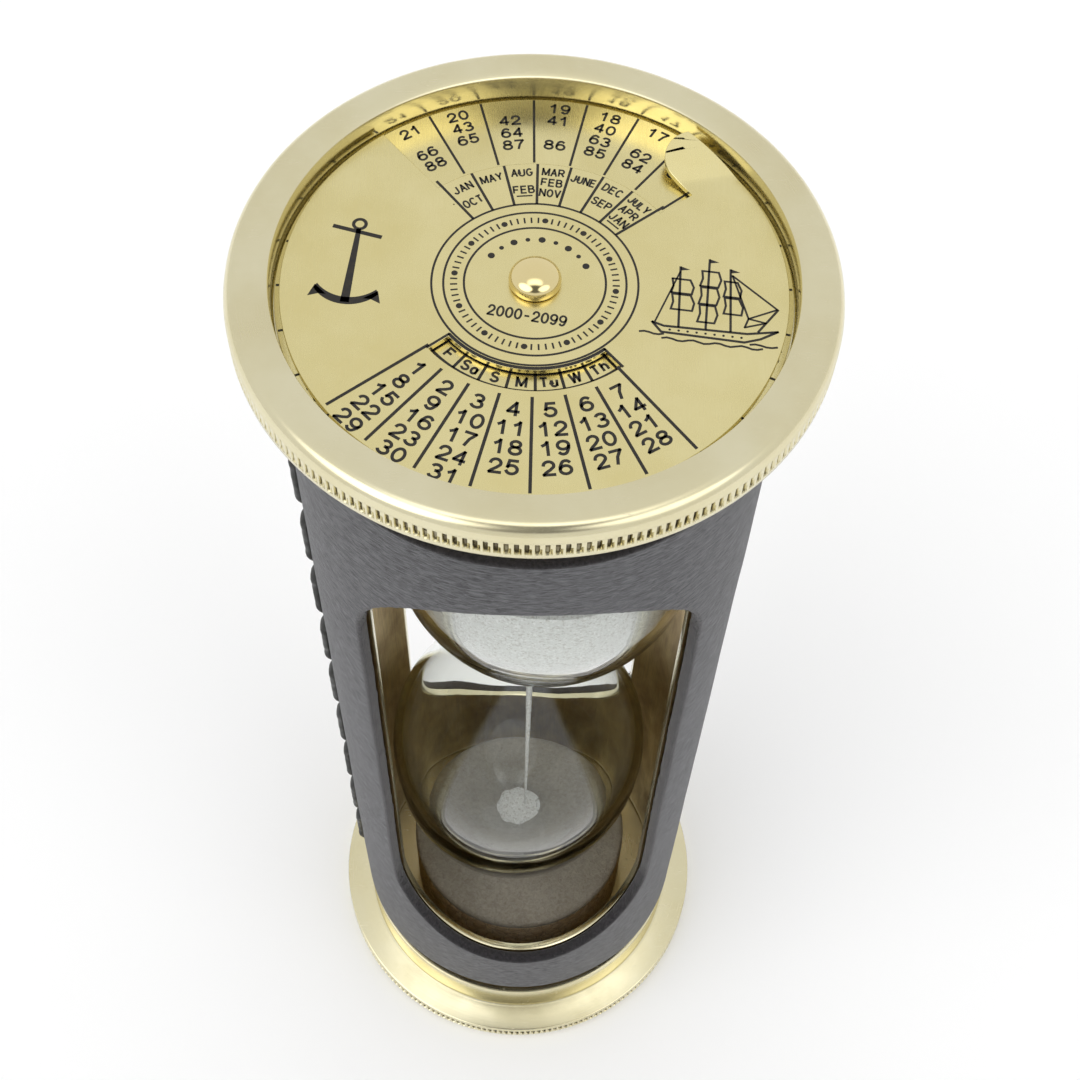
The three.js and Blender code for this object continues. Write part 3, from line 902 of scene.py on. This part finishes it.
def make_sand():
    for name, side, surface, node in (
        ("upper_sand_bed", 1, upper_surface, "upper_sand"), ("lower_sand_heap", -1, lower_surface, "lower_sand"),
    ):
        vertices, faces = sand_body(side, surface)
        make_piece(name, vertices, faces, SAND, "root", [node], 60)
    low, high = low_high("sand_stream")
    foot = low.z - 0.5
    rings = [[(NECK.x, NECK.y, foot)]]
    for k in range(61):
        share = k / 60
        z = foot + (high.z - 0.1 - foot) * share
        ring = []
        for j in range(12):
            angle = TURN * j / 12
            r = 0.16 + 0.34 * share + 0.08 * noise.noise(Vector((math.cos(angle), math.sin(angle), z * 1.3)))
            ring.append((NECK.x + r * math.cos(angle), NECK.y + r * math.sin(angle), z))
        rings.append(ring)
    rings.append([(NECK.x, NECK.y, high.z - 0.05)])
    vertices, faces = skin(rings, False)
    make_piece("falling_sand", vertices, faces, SAND, "root", ["sand_stream"], 70)


make_glass()
make_sand()


# ---- seats for the glass ------------------------------------------------------------------------

def pad_height(radius, top, side):
    """Height of a felt's face: level, and pressed in where the bulb's end bears on it."""
    end = abs(Vector(stand((0, 0, side * BULB_END))).z - top)
    press = BULB_END - BULB_WIDEST
    bulb = press - press * math.sqrt(max(0, 1 - (radius / BULB_R) ** 2))
    return max(0, end + 0.45 - bulb)


def make_felt(name, node, side):
    """A round pad with soft edges, dished by the glass on the face that meets it."""
    low, high = low_high(node)
    radius = high.x
    face, back = (high.z, low.z) if side < 0 else (low.z, high.z)
    sign = 1 if side < 0 else -1
    section = [(0, back), (radius * 0.5, back), (radius - 0.5, back), (radius - 0.1, back + sign * 0.2)]
    section += [(radius, back + sign * 0.7), (radius - 0.08, face - sign * 0.4), (radius - 0.5, face - sign * 0.08)]
    for k in range(22, -1, -1):
        r = (radius - 1.2) * k / 22
        depth = min(1.5, pad_height(r, face, side))
        section.append((r, face - sign * depth))
    vertices, faces = turned(section, 128)
    fuzzy = []
    for x, y, z in vertices:
        soft = 0.06 * noise.noise(Vector((x, y, z)) * 1.1)
        fuzzy.append((x, y, z + (soft if abs(z - back) > 0.3 else 0)))
    make_piece(name, fuzzy, faces, FELT, "root", [node], 60)


def make_turned(name, node, material, section, ease, columns=128):
    vertices, faces = turned(eased(section, ease), columns)
    return make_piece(name, vertices, faces, material, "root", [node])


def make_disc(name, node, material, hole, ease, columns=128):
    """A plain disc with eased edges, or a ring round a hole, as large as its CAD node."""
    low, high = low_high(node)
    section = [(hole, low.z), (high.x, low.z), (high.x, high.z), (hole, high.z)]
    return make_turned(name, node, material, section, ease, columns)


def make_seats():
    make_felt("lower_felt_pad", "lower_felt", -1)
    make_felt("upper_felt_pad", "upper_felt", 1)
    make_disc("lower_cork_block", "lower_seat", CORK, 0, 0.5)
    low, high = low_high("upper_seat")
    pocket = 2.2
    make_turned("upper_cork_block", "upper_seat", CORK,
                [(0, low.z), (high.x, low.z), (high.x, high.z), (5, high.z), (5, high.z - pocket),
                 (0, high.z - pocket)], 0.4)


make_seats()


# ---- engraving ----------------------------------------------------------------------------------

SHARP_TURN = -0.2            # cosine of the turn beyond which a line is cut in two
CLOSE = 1e-6


def at(radius, degrees):
    angle = math.radians(degrees)
    return Vector((radius * math.sin(angle), -radius * math.cos(angle)))


class Engraving:
    """Black-filled marks on a level face. Each mark is a thin closed solid let into the face."""

    PROUD = 0.012
    SUNK = 0.05

    def __init__(self, top, turn=0.0):
        self.top = top
        self.turn = Matrix.Rotation(math.radians(turn), 2)
        self.vertices = []
        self.faces = []

    def slab(self, outline):
        """A filled outline of points, given in order."""
        count, shift = len(outline), len(self.vertices)
        turned_points = [self.turn @ Vector(point) for point in outline]
        for height in (self.top - self.SUNK, self.top + self.PROUD):
            self.vertices += [(p.x, p.y, height) for p in turned_points]
        fills = geometry.tessellate_polygon([[Vector((p.x, p.y, 0)) for p in turned_points]])
        for a, b, c in fills:
            self.faces.append((a + shift, b + shift, c + shift))
            self.faces.append((c + shift + count, b + shift + count, a + shift + count))
        for k in range(count):
            after = (k + 1) % count
            self.faces.append((shift + k, shift + after, shift + count + after, shift + count + k))

    def line(self, start, end, width=0.17):
        start, end = Vector(start), Vector(end)
        side = (end - start).normalized().orthogonal() * width / 2
        self.slab([start - side, end - side, end + side, start + side])

    def strip(self, pairs, closed):
        """A band between pairs of points, from one pair to the next."""
        low, high = self.top - self.SUNK, self.top + self.PROUD
        rings = []
        for a, b in pairs:
            a, b = self.turn @ Vector(a), self.turn @ Vector(b)
            rings.append([(a.x, a.y, low), (b.x, b.y, low), (b.x, b.y, high), (a.x, a.y, high)])
        vertices, faces = skin(rings, closed)
        if not closed:
            last = len(vertices)
            faces += [(0, 1, 2, 3), (last - 1, last - 2, last - 3, last - 4)]
        shift = len(self.vertices)
        self.vertices += vertices
        self.faces += [tuple(v + shift for v in face) for face in faces]

    def path(self, points, width=0.17):
        """A line of even width through the points, closed if it ends where it starts, and cut at sharp corners."""
        points = [Vector(point) for point in points]
        closed = (points[0] - points[-1]).length < CLOSE
        ways = [(after - here).normalized() for here, after in zip(points, points[1:])]
        cuts = [k for k in range(1, len(ways)) if ways[k - 1].dot(ways[k]) < SHARP_TURN]
        if cuts or (closed and ways[-1].dot(ways[0]) < SHARP_TURN):
            cuts = [0, *cuts, len(ways)]
            for start, end in zip(cuts, cuts[1:]):
                run = points[start:end + 1]
                run[0] = run[0] - ways[start] * width * 0.3
                run[-1] = run[-1] + ways[end - 1] * width * 0.3
                self.path(run, width)
            return
        if closed:
            points.pop()
        pairs = []
        for k, here in enumerate(points):
            before = (here - points[k - 1]).normalized() if k or closed else None
            after = (points[(k + 1) % len(points)] - here).normalized() if closed or k + 1 < len(points) else None
            before, after = before or after, after or before
            way = (before + after).normalized()
            side = way.orthogonal() * width / 2 / max(0.5, way.dot(after))
            pairs.append((here + side, here - side))
        self.strip(pairs, closed)

    def radial(self, degrees, inner, outer, width=0.17):
        self.line(at(inner, degrees), at(outer, degrees), width)

    def arc(self, radius, start=0.0, end=360.0, width=0.15):
        """Part of a ring, or all of it."""
        steps = max(4, round(abs(end - start) / 2.5))
        closed = abs(end - start) >= 360
        angles = [start + (end - start) * k / steps for k in range(steps + (not closed))]
        self.strip([(at(radius - width / 2, angle), at(radius + width / 2, angle)) for angle in angles], closed)

    def dot(self, centre, radius, sides=14):
        self.slab([Vector(centre) + at(radius, 360 * k / sides) for k in range(sides)])

    def words(self, text, height, radius, degrees, bottom_out, squeeze=1.0, weight=0.16):
        """Upright text in plain strokes, its middle at radius and degrees, its foot out towards the rim or inwards."""
        turn = Matrix.Rotation(math.radians(degrees if bottom_out else degrees - 180), 2)
        widths = [0.54 * WIDE.get(letter, 1) for letter in text]
        left = -(sum(widths) + GAP * (len(text) - 1)) / 2
        for letter, width in zip(text, widths):
            for stroke in STROKES[letter]:
                self.path([
                    at(radius, degrees)
                    + turn @ (Vector((squeeze * (left + width * x), (1 - weight) * (y - 0.5))) * height)
                    for x, y in stroke
                ], weight * height)
            left += width + GAP

    def piece(self, name, body):
        make_piece(name, self.vertices, self.faces, PAINT, body)


def bow(x, y, across, up, start, end, steps=14):
    """Points along an oval, from one angle to another, in degrees from the right and anticlockwise."""
    angles = [math.radians(start + (end - start) * k / steps) for k in range(steps + 1)]
    return [(x + across * math.cos(angle), y + up * math.sin(angle)) for angle in angles]


OVAL = [[*bow(0.5, 0.5, 0.5, 0.5, 0, 345, 23), (1.0, 0.5)]]
SIX = [[(0.94, 0.84), *bow(0.54, 0.72, 0.4, 0.28, 50, 150), (0.02, 0.55), *bow(0.5, 0.31, 0.5, 0.31, 180, 540, 24)]]
PEE = [(0.0, 0.0), (0.0, 1.0), *bow(0.55, 0.74, 0.42, 0.26, 90, -90), (0.0, 0.48)]
GAP = 0.26                   # between letters, for letters one unit high
WIDE = {"M": 1.25, "W": 1.45, "a": 0.9, "u": 0.9, "h": 0.9}
STROKES = {                  # each letter's strokes, in a box one unit wide and high
    "0": OVAL,
    "1": [[(0.14, 0.72), (0.4, 0.82), (0.6, 1.0), (0.6, 0.0)]],
    "2": [[*bow(0.49, 0.7, 0.46, 0.3, 175, -25), (0.6, 0.36), (0.2, 0.16), (0.0, 0.0), (1.0, 0.0)]],
    "3": [[*bow(0.48, 0.77, 0.42, 0.23, 165, -80), (0.38, 0.53)], bow(0.48, 0.27, 0.5, 0.27, 85, -165)],
    "4": [[(0.74, 0.0), (0.74, 1.0), (0.0, 0.28), (1.0, 0.28)]],
    "5": [[(0.92, 1.0), (0.2, 1.0), (0.08, 0.5), *bow(0.48, 0.32, 0.5, 0.32, 125, -160)]],
    "6": SIX,
    "7": [[(0.0, 1.0), (1.0, 1.0), (0.55, 0.52), (0.34, 0.0)]],
    "8": [bow(0.5, 0.77, 0.42, 0.23, 0, 360, 24), bow(0.5, 0.27, 0.5, 0.27, 0, 360, 24)],
    "9": [[(1 - x, 1 - y) for x, y in stroke] for stroke in SIX],
    "-": [[(0.1, 0.42), (0.9, 0.42)]],
    "A": [[(0.0, 0.0), (0.5, 1.0), (1.0, 0.0)], [(0.18, 0.34), (0.82, 0.34)]],
    "B": [[(0.0, 0.0), (0.0, 1.0), *bow(0.55, 0.77, 0.36, 0.23, 90, -90), (0.0, 0.54)],
          [*bow(0.56, 0.27, 0.44, 0.27, 90, -90), (0.0, 0.0)]],
    "C": [bow(0.54, 0.5, 0.54, 0.5, 40, 320)],
    "D": [[(0.0, 0.0), (0.0, 1.0), *bow(0.4, 0.5, 0.6, 0.5, 90, -90), (0.0, 0.0)]],
    "E": [[(1.0, 1.0), (0.0, 1.0), (0.0, 0.0), (1.0, 0.0)], [(0.0, 0.52), (0.9, 0.52)]],
    "F": [[(1.0, 1.0), (0.0, 1.0), (0.0, 0.0)], [(0.0, 0.5), (0.85, 0.5)]],
    "G": [[*bow(0.52, 0.5, 0.52, 0.5, 45, 335), (1.0, 0.46), (0.58, 0.46)]],
    "J": [[(0.85, 1.0), (0.85, 0.3), *bow(0.45, 0.27, 0.4, 0.27, 0, -180)]],
    "L": [[(0.0, 1.0), (0.0, 0.0), (0.95, 0.0)]],
    "M": [[(0.0, 0.0), (0.0, 1.0), (0.5, 0.08), (1.0, 1.0), (1.0, 0.0)]],
    "N": [[(0.0, 0.0), (0.0, 1.0), (1.0, 0.0), (1.0, 1.0)]],
    "O": OVAL,
    "P": [PEE],
    "R": [PEE, [(0.5, 0.48), (1.0, 0.0)]],
    "S": [[*bow(0.49, 0.76, 0.44, 0.24, 20, 230), *bow(0.5, 0.26, 0.48, 0.26, 55, -165)]],
    "T": [[(0.0, 1.0), (1.0, 1.0)], [(0.5, 1.0), (0.5, 0.0)]],
    "U": [[(0.0, 1.0), (0.0, 0.3), *bow(0.5, 0.3, 0.5, 0.3, 180, 360), (1.0, 1.0)]],
    "V": [[(0.0, 1.0), (0.5, 0.0), (1.0, 1.0)]],
    "W": [[(0.0, 1.0), (0.25, 0.0), (0.5, 1.0), (0.75, 0.0), (1.0, 1.0)]],
    "Y": [[(0.0, 1.0), (0.5, 0.45), (1.0, 1.0)], [(0.5, 0.45), (0.5, 0.0)]],
    "a": [bow(0.45, 0.33, 0.42, 0.33, 0, 360, 24), [(0.87, 0.7), (0.87, 0.0)]],
    "u": [[(0.05, 0.7), (0.05, 0.25), *bow(0.45, 0.25, 0.4, 0.25, 180, 340), (0.87, 0.4)],
          [(0.87, 0.7), (0.87, 0.0)]],
    "h": [[(0.05, 1.0), (0.05, 0.0)], [(0.05, 0.4), *bow(0.45, 0.42, 0.4, 0.28, 180, 0), (0.85, 0.0)]],
}


# ---- year disc ----------------------------------------------------------------------------------

def make_year_disc():
    make_disc("printed_year_disc", "year_disc", SATIN, PIVOT_HOLE, 0.08, 180)
    print_ = Engraving(DISC_TOP)
    for k in range(28):
        print_.radial(k * COLUMN, 16.4, 25.2, 0.26)
    rows = (24.1, 22.4, 20.65, 18.95, 17.25)
    for year in range(100):
        place = year + year // 4
        print_.words(f"{year:02d}", 1.38, rows[place // 28], (place % 28 - 9.5) * COLUMN, False, 1.1, 0.18)
    days = ("F", "Sa", "S", "M", "Tu", "W", "Th")
    print_.arc(12.5, width=0.3)
    print_.arc(10.5, width=0.3)
    for k in range(28):
        print_.radial(k * COLUMN, 10.4, 12.5, 0.3)
        print_.words(days[k % 7], 1.3, 11.48, (k - 3.5) * COLUMN, True, 1.0, 0.2)
    print_.piece("year_disc_engraving", "root")


make_year_disc()


# ---- calendar dial ------------------------------------------------------------------------------

def arc_points(radius, start, end, steps, centre=Vector((0, 0))):
    return [centre + at(radius, start + (end - start) * k / steps) for k in range(steps + 1)]


def dial_outline():
    """The dial's edge, counter-clockwise, in its own frame: rim, thumb tab, and the floor of the year notch."""
    first, last = 180 + NOTCH_HALF, 180 - NOTCH_HALF
    cosine = (DIAL_R ** 2 + TAB_AT ** 2 - TAB_R ** 2) / (2 * DIAL_R * TAB_AT)
    rim_end = TAB_TURN + math.degrees(math.acos(cosine))
    rim = arc_points(DIAL_R, first - 360, rim_end, 160)
    centre = at(TAB_AT, TAB_TURN)
    corner = rim[-1] - centre
    inward = TAB_TURN - TAB_ROOT / 2 + 180
    from_angle = math.degrees(math.atan2(corner.x, -corner.y)) % 360
    tab = arc_points(TAB_R, from_angle, inward, 36, centre)
    straight = TAB_AT * math.cos(math.radians(TAB_ROOT / 2)) - TAB_R
    root = at(straight / math.cos(math.radians(inward - 180 - last)), last)
    floor = arc_points(NOTCH_FLOOR, last, first, 70)
    return [*rim[:-1], *tab, root, *floor]


def days_window():
    inner = arc_points(DAYS_IN, DAYS_FROM, DAYS_TO, 60)
    outer = arc_points(DAYS_OUT, DAYS_TO, DAYS_FROM, 60)
    return [*inner, *outer]


def make_dial():
    """The dial is flat but for its thumb tab, which is bent up a little so that a finger can push it."""
    turn = Matrix.Rotation(math.radians(DIAL_TURN), 2)
    loops = [dial_outline(), days_window(), arc_points(PIVOT_HOLE, 0, 360, 48)[:-1]]
    loops = [[turn @ point for point in loop] for loop in loops]
    work = bmesh.new()
    edges = []
    for loop in loops:
        ring = [work.verts.new((p.x, p.y, DIAL_LOW)) for p in loop]
        edges += [work.edges.new((ring[k - 1], ring[k])) for k in range(len(ring))]
    bmesh.ops.triangle_fill(work, use_beauty=True, use_dissolve=False, edges=edges)
    fold_start, fold_end = (turn @ point for point in TAB_FOLD)
    outward = (fold_end - fold_start).normalized().orthogonal()
    soft = 0.6
    for k in range(7):
        place = fold_start + outward * soft * (k / 3 - 1)
        bmesh.ops.bisect_plane(
            work, geom=[*work.verts, *work.edges, *work.faces],
            plane_co=(place.x, place.y, 0), plane_no=(outward.x, outward.y, 0),
        )
    made = bmesh.ops.extrude_face_region(work, geom=list(work.faces))
    for vertex in made["geom"]:
        if isinstance(vertex, bmesh.types.BMVert):
            vertex.co.z = DIAL_TOP
    for vertex in work.verts:
        past = (vertex.co.xy - fold_start).dot(outward)
        if vertex.co.x > 0 and vertex.co.xy.length > 18 and past > -soft:
            vertex.co.z += TAB_SLOPE * (past if past > soft else (past + soft) ** 2 / (4 * soft))
    bmesh.ops.scale(work, vec=(MM, MM, MM), verts=work.verts)
    bmesh.ops.recalc_face_normals(work, faces=work.faces)
    mesh = bpy.data.meshes.new("dial_plate")
    work.to_mesh(mesh)
    work.free()
    mesh.materials.append(SATIN)
    mesh.shade_smooth()
    mesh.set_sharp_from_angle(angle=math.radians(30))
    plate = bpy.data.objects.new("dial_plate", mesh)
    bpy.context.scene.collection.objects.link(plate)
    bevel = plate.modifiers.new("edge", "BEVEL")
    bevel.width = 0.06 * MM
    bevel.segments = 2
    bevel.limit_method = "ANGLE"
    bevel.angle_limit = math.radians(40)
    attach(plate, "dial")
    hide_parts("calendar_dial")


MONTHS = (                   # columns of the month scale from the left, each month with its row and underline
    (("JAN", 14.1, False), ("OCT", 12.0, False)),
    (("MAY", 14.1, False),),
    (("AUG", 14.3, False), ("FEB", 12.0, True)),
    (("MAR", 14.4, False), ("FEB", 13.0, False), ("NOV", 11.6, False)),
    (("JUNE", 14.1, False),),
    (("DEC", 14.3, False), ("SEP", 12.2, False)),
    (("JULY", 14.5, False), ("APR", 13.0, False), ("JAN", 11.6, True)),
)


def engrave_scales(dial):
    """Month scale at the notch, day columns at the window, circles round the pivot."""
    for radius in (10.06, 8.9, 6.9):
        dial.arc(radius, width=0.22)
    dial.arc(DAYS_IN - 0.2, DAYS_FROM - 1, DAYS_TO + 1, 0.34)
    for degrees in (DAYS_FROM - 0.8, DAYS_TO + 0.6):
        dial.radial(degrees, DAYS_IN - 0.3, DAYS_OUT + 0.1, 0.26)
    for k in range(8):
        degrees = 180 + (3.5 - k) * COLUMN
        dial.radial(degrees, 10.06, 16.3 if k in (0, 7) else 15.45, 0.28)
        dial.radial((k - 3.5) * COLUMN, 12.7 if k in (0, 7) else 13.7, 24.35, 0.32)
    for k, column in enumerate(MONTHS):
        degrees = 180 + (3 - k) * COLUMN
        for name, radius, underlined in column:
            dial.words(name, 1.08, radius, degrees, False, 0.78 if len(name) > 3 else 0.88, 0.18)
            if underlined:
                sideways = at(1, degrees + 90)
                foot = at(radius - 0.85, degrees)
                dial.line(foot - sideways * 0.8, foot + sideways * 0.8, 0.17)
    for day in range(1, 32):
        column, row = (day - 1) % 7, (day - 1) // 7
        dial.words(str(day), 1.74, 15.2 + 2.15 * row, (column - 3) * COLUMN, True, 1.1, 0.18)


def engrave_centre(dial):
    """Years covered, and a band of marks and dots in place of any legend."""
    dial.words("2000-2099", 1.36, 4.16, -3, True, 0.8)
    for k in range(72):
        if k % 6 == 0:
            dial.dot(at(7.9, k * 5), 0.32)
        else:
            dial.radial(k * 5, 7.55, 8.25, 0.18)
    for k in range(-4, 5):
        dial.dot(at(5.4, 180 + k * 15), 0.24 if k % 2 else 0.36)


def engrave_anchor(dial):
    """A plain stocked anchor, filled in."""
    top, foot = Vector((-18.13, 4.79)), Vector((-17.82, -5.1))
    dial.path([top + at(0.62, 360 * k / 24) for k in range(25)], 0.34)
    shank = (foot - top).normalized()
    dial.slab([
        top + shank * 0.6 - shank.orthogonal() * 0.24, foot - shank.orthogonal() * 0.44,
        foot + shank.orthogonal() * 0.44, top + shank * 0.6 + shank.orthogonal() * 0.24,
    ])
    dial.line((-20.72, 4.22), (-15.69, 3.41), 0.46)
    outer = [Vector((-17.95, -1.4)) + at(3.95, -54 + 108 * k / 24) for k in range(25)]
    inner = [Vector((-17.95, -0.62)) + at(3.85, 49 - 98 * k / 24) for k in range(25)]
    dial.slab([*outer, *inner])
    for side in (-1, 1):
        tip = Vector((-17.95 + side * 3.1, -3.3))
        dial.slab([
            tip, tip + Vector((side * 0.45, -1.5)), tip + Vector((-side * 0.5, -1.1)),
            tip + Vector((-side * 1.3, -1.1)),
        ][::side])


def engrave_sail(dial, left, right, heights):
    """Stacked sails: left and right are the (bottom, top) of their sides, heights their edges from the foot up."""
    low, high = heights[0], heights[-1]

    def side(ends, height):
        return ends[0] + (ends[1] - ends[0]) * (height - low) / (high - low)
    for foot, head in zip(heights, heights[1:]):
        head -= 0.16
        middle = (foot + head) / 2
        dial.path([
            (side(left, foot), foot), (side(right, foot), foot), (side(right, middle) + 0.22, middle),
            (side(right, head) - 0.1, head), (side(left, head) + 0.1, head), (side(left, middle) + 0.22, middle),
            (side(left, foot), foot),
        ], 0.22)


def engrave_ship(dial):
    """A plain three-masted sailing ship in line work, on a few strokes of water."""
    dial.path([
        (11.75, -3.15), (12.9, -3.5), (20.9, -3.35), (23.8, -2.7), (22.2, -3.8), (20.7, -4.4), (12.7, -4.25),
        (11.75, -3.15),
    ], 0.26)
    for k in range(9):
        dial.dot((13.5 + 0.86 * k, -3.88), 0.13, 10)
    for foot, top in (((14.3, -3.5), (13.87, 4.05)), ((16.9, -3.4), (16.64, 5.37)), ((19.3, -3.4), (18.76, 4.4))):
        dial.line(foot, top, 0.24)
        dial.slab([top, (top[0] + 0.1, top[1] - 0.5), (top[0] + 0.95, top[1] - 0.3)])
    engrave_sail(dial, (13.37, 13.1), (15.43, 15.05), (-1.33, 0.7, 2.6))
    engrave_sail(dial, (16.02, 15.92), (17.67, 17.74), (-2.53, -0.3, 1.9, 3.95))
    engrave_sail(dial, (18.47, 18.17), (20.19, 19.63), (-1.2, 0.9, 2.95))
    dial.line((21.9, -3.0), (23.7, 0.02), 0.24)
    dial.path([(19.0, 3.6), (23.6, 0.0), (20.9, -1.5), (19.0, 3.6)], 0.2)
    dial.path([(20.9, -1.5), (22.6, -1.8), (20.6, -2.6), (20.9, -1.5)], 0.2)
    dial.line((13.9, 3.4), (12.0, -3.1), 0.18)
    waters = ((10.6, 13.0, -4.5, 0.12), (12.8, 22.5, -5.0, 0.14), (21.2, 23.9, -4.6, 0.12))
    for start, end, height, swell in waters:
        count = round((end - start) * 2)
        dial.path([
            (start + (end - start) * k / count, height + swell * math.sin(k * 1.35)) for k in range(count + 1)
        ], 0.22)


def make_engraved_dial():
    make_dial()
    dial = Engraving(DIAL_TOP, DIAL_TURN)
    engrave_scales(dial)
    engrave_centre(dial)
    engrave_anchor(dial)
    engrave_ship(dial)
    dial.piece("dial_engraving", "dial")


make_engraved_dial()


# ---- rivet and small turned pieces --------------------------------------------------------------

def make_rivet():
    low, high = low_high("pivot_rivet")
    tail_top = low_high("rivet_washer")[0].z
    radius, shank = high.x, 1.45
    under = DIAL_TOP + 0.1
    wall_top = under + 0.5
    section = [
        (0, low.z), *rounded((1.7, low.z), (0, low.z), (2.4, tail_top), 0.3),
        *rounded((2.4, tail_top), (1.7, low.z), (shank, tail_top), 0.15), (shank, tail_top), (shank, under),
        *rounded((radius - 0.05, under), (shank, under), (radius, wall_top), 0.12), (radius - 0.02, wall_top),
    ]
    steps = 20
    for k in range(1, steps):
        angle = (k / steps) * math.pi / 2
        rise = wall_top + 0.06 + (high.z - wall_top - 0.06) * math.sin(angle)
        section.append(((radius - 0.07) * math.cos(angle) ** 0.9, rise))
    section.append((0, high.z))
    vertices, faces = turned(section, 96)
    make_piece("domed_rivet", vertices, faces, RIVET, "root", ["pivot_rivet"], 40)


def make_washers():
    make_disc("thin_spacer", "dial_spacer", POLISHED, PIVOT_HOLE, 0.04, 64)
    make_disc("rivet_ring", "rivet_washer", POLISHED, PIVOT_HOLE, 0.1, 64)
    make_disc("base_plate", "base_disc", POLISHED, 0, 0.1, 180)


make_rivet()
make_washers()


# ---- floor, light and camera --------------------------------------------------------------------

ROOM_LIGHT = 1.05
FLOOR_HALF = 4.0             # metres


def make_floor():
    f = Finish("studio_paper")
    f.surface(Base_Color=(0.98, 0.98, 0.98, 1), Roughness=0.85)
    corners = [(x * FLOOR_HALF, y * FLOOR_HALF, 0) for x, y in ((-1, -1), (1, -1), (1, 1), (-1, 1))]
    mesh = bpy.data.meshes.new("floor")
    mesh.from_pydata(corners, [], [(0, 1, 2, 3)])
    mesh.materials.append(f.material)
    floor = bpy.data.objects.new("floor", mesh)
    bpy.context.scene.collection.objects.link(floor)


def sky(azimuth, elevation):
    """A direction: degrees to the right of the front, and degrees up."""
    azimuth, elevation = math.radians(azimuth), math.radians(elevation)
    level = math.cos(elevation)
    return (level * math.sin(azimuth), -level * math.cos(azimuth), math.sin(elevation))


ROOM_PATCHES = (             # where each is, its half size and soft edge in degrees, and its strength
    (sky(0, 90), 16, 6, 2.4),
    (sky(0, 59), 26, 7, 0.2),
    (sky(-55, 50), 22, 5, 2.9),
    (sky(50, 50), 18, 5, 2.4),
)


def make_world():
    """A pale room, dim on the camera's side, with a large soft lamp on either side of it and one overhead."""
    world = bpy.data.worlds.new("studio")
    bpy.context.scene.world = world
    room = Nodes(world, "ShaderNodeOutputWorld")
    way = room.node("ShaderNodeTexCoord").outputs["Generated"]
    light = room.node("ShaderNodeValue").outputs[0]
    light.default_value = ROOM_LIGHT
    for direction, size, edge, strength in ROOM_PATCHES:
        towards = room.node("ShaderNodeVectorMath", {0: way, 1: direction}, operation="DOT_PRODUCT").outputs["Value"]
        outside, inside = (math.cos(math.radians(size + side * edge)) for side in (1, -1))
        share = room.between(towards, outside, inside, smooth=True)
        rest = room.maths("MULTIPLY", light, room.maths("SUBTRACT", 1.0, share))
        light = room.maths("ADD", rest, room.maths("MULTIPLY", share, strength))
    shade = room.node("ShaderNodeBackground", {"Strength": light})
    room.tree.links.new(shade.outputs[0], room.output.inputs["Surface"])


def make_camera():
    """The camera stands high in front, turned and rolled a little."""
    place = Vector((-2.752, -106.524, 291.72))
    yaw, pitch, roll = math.radians(2.29), math.radians(58.99), math.radians(2.33)
    forward = Vector((math.sin(yaw) * math.cos(pitch), math.cos(yaw) * math.cos(pitch), -math.sin(pitch)))
    level = Vector((math.cos(yaw), -math.sin(yaw), 0))
    upright = level.cross(forward)
    right = math.cos(roll) * level + math.sin(roll) * upright
    up = -math.sin(roll) * level + math.cos(roll) * upright
    lens = bpy.data.cameras.new("camera")
    lens.lens = 56.7
    lens.sensor_width = 36
    lens.clip_start = 0.01
    camera = bpy.data.objects.new("camera", lens)
    bpy.context.scene.collection.objects.link(camera)
    axes = Matrix((right, up, -forward)).transposed()
    camera.matrix_world = Matrix.Translation(place * MM) @ axes.to_4x4()
    bpy.context.scene.camera = camera


make_floor()
make_world()
make_camera()
bpy.context.scene.view_settings.view_transform = "Standard"
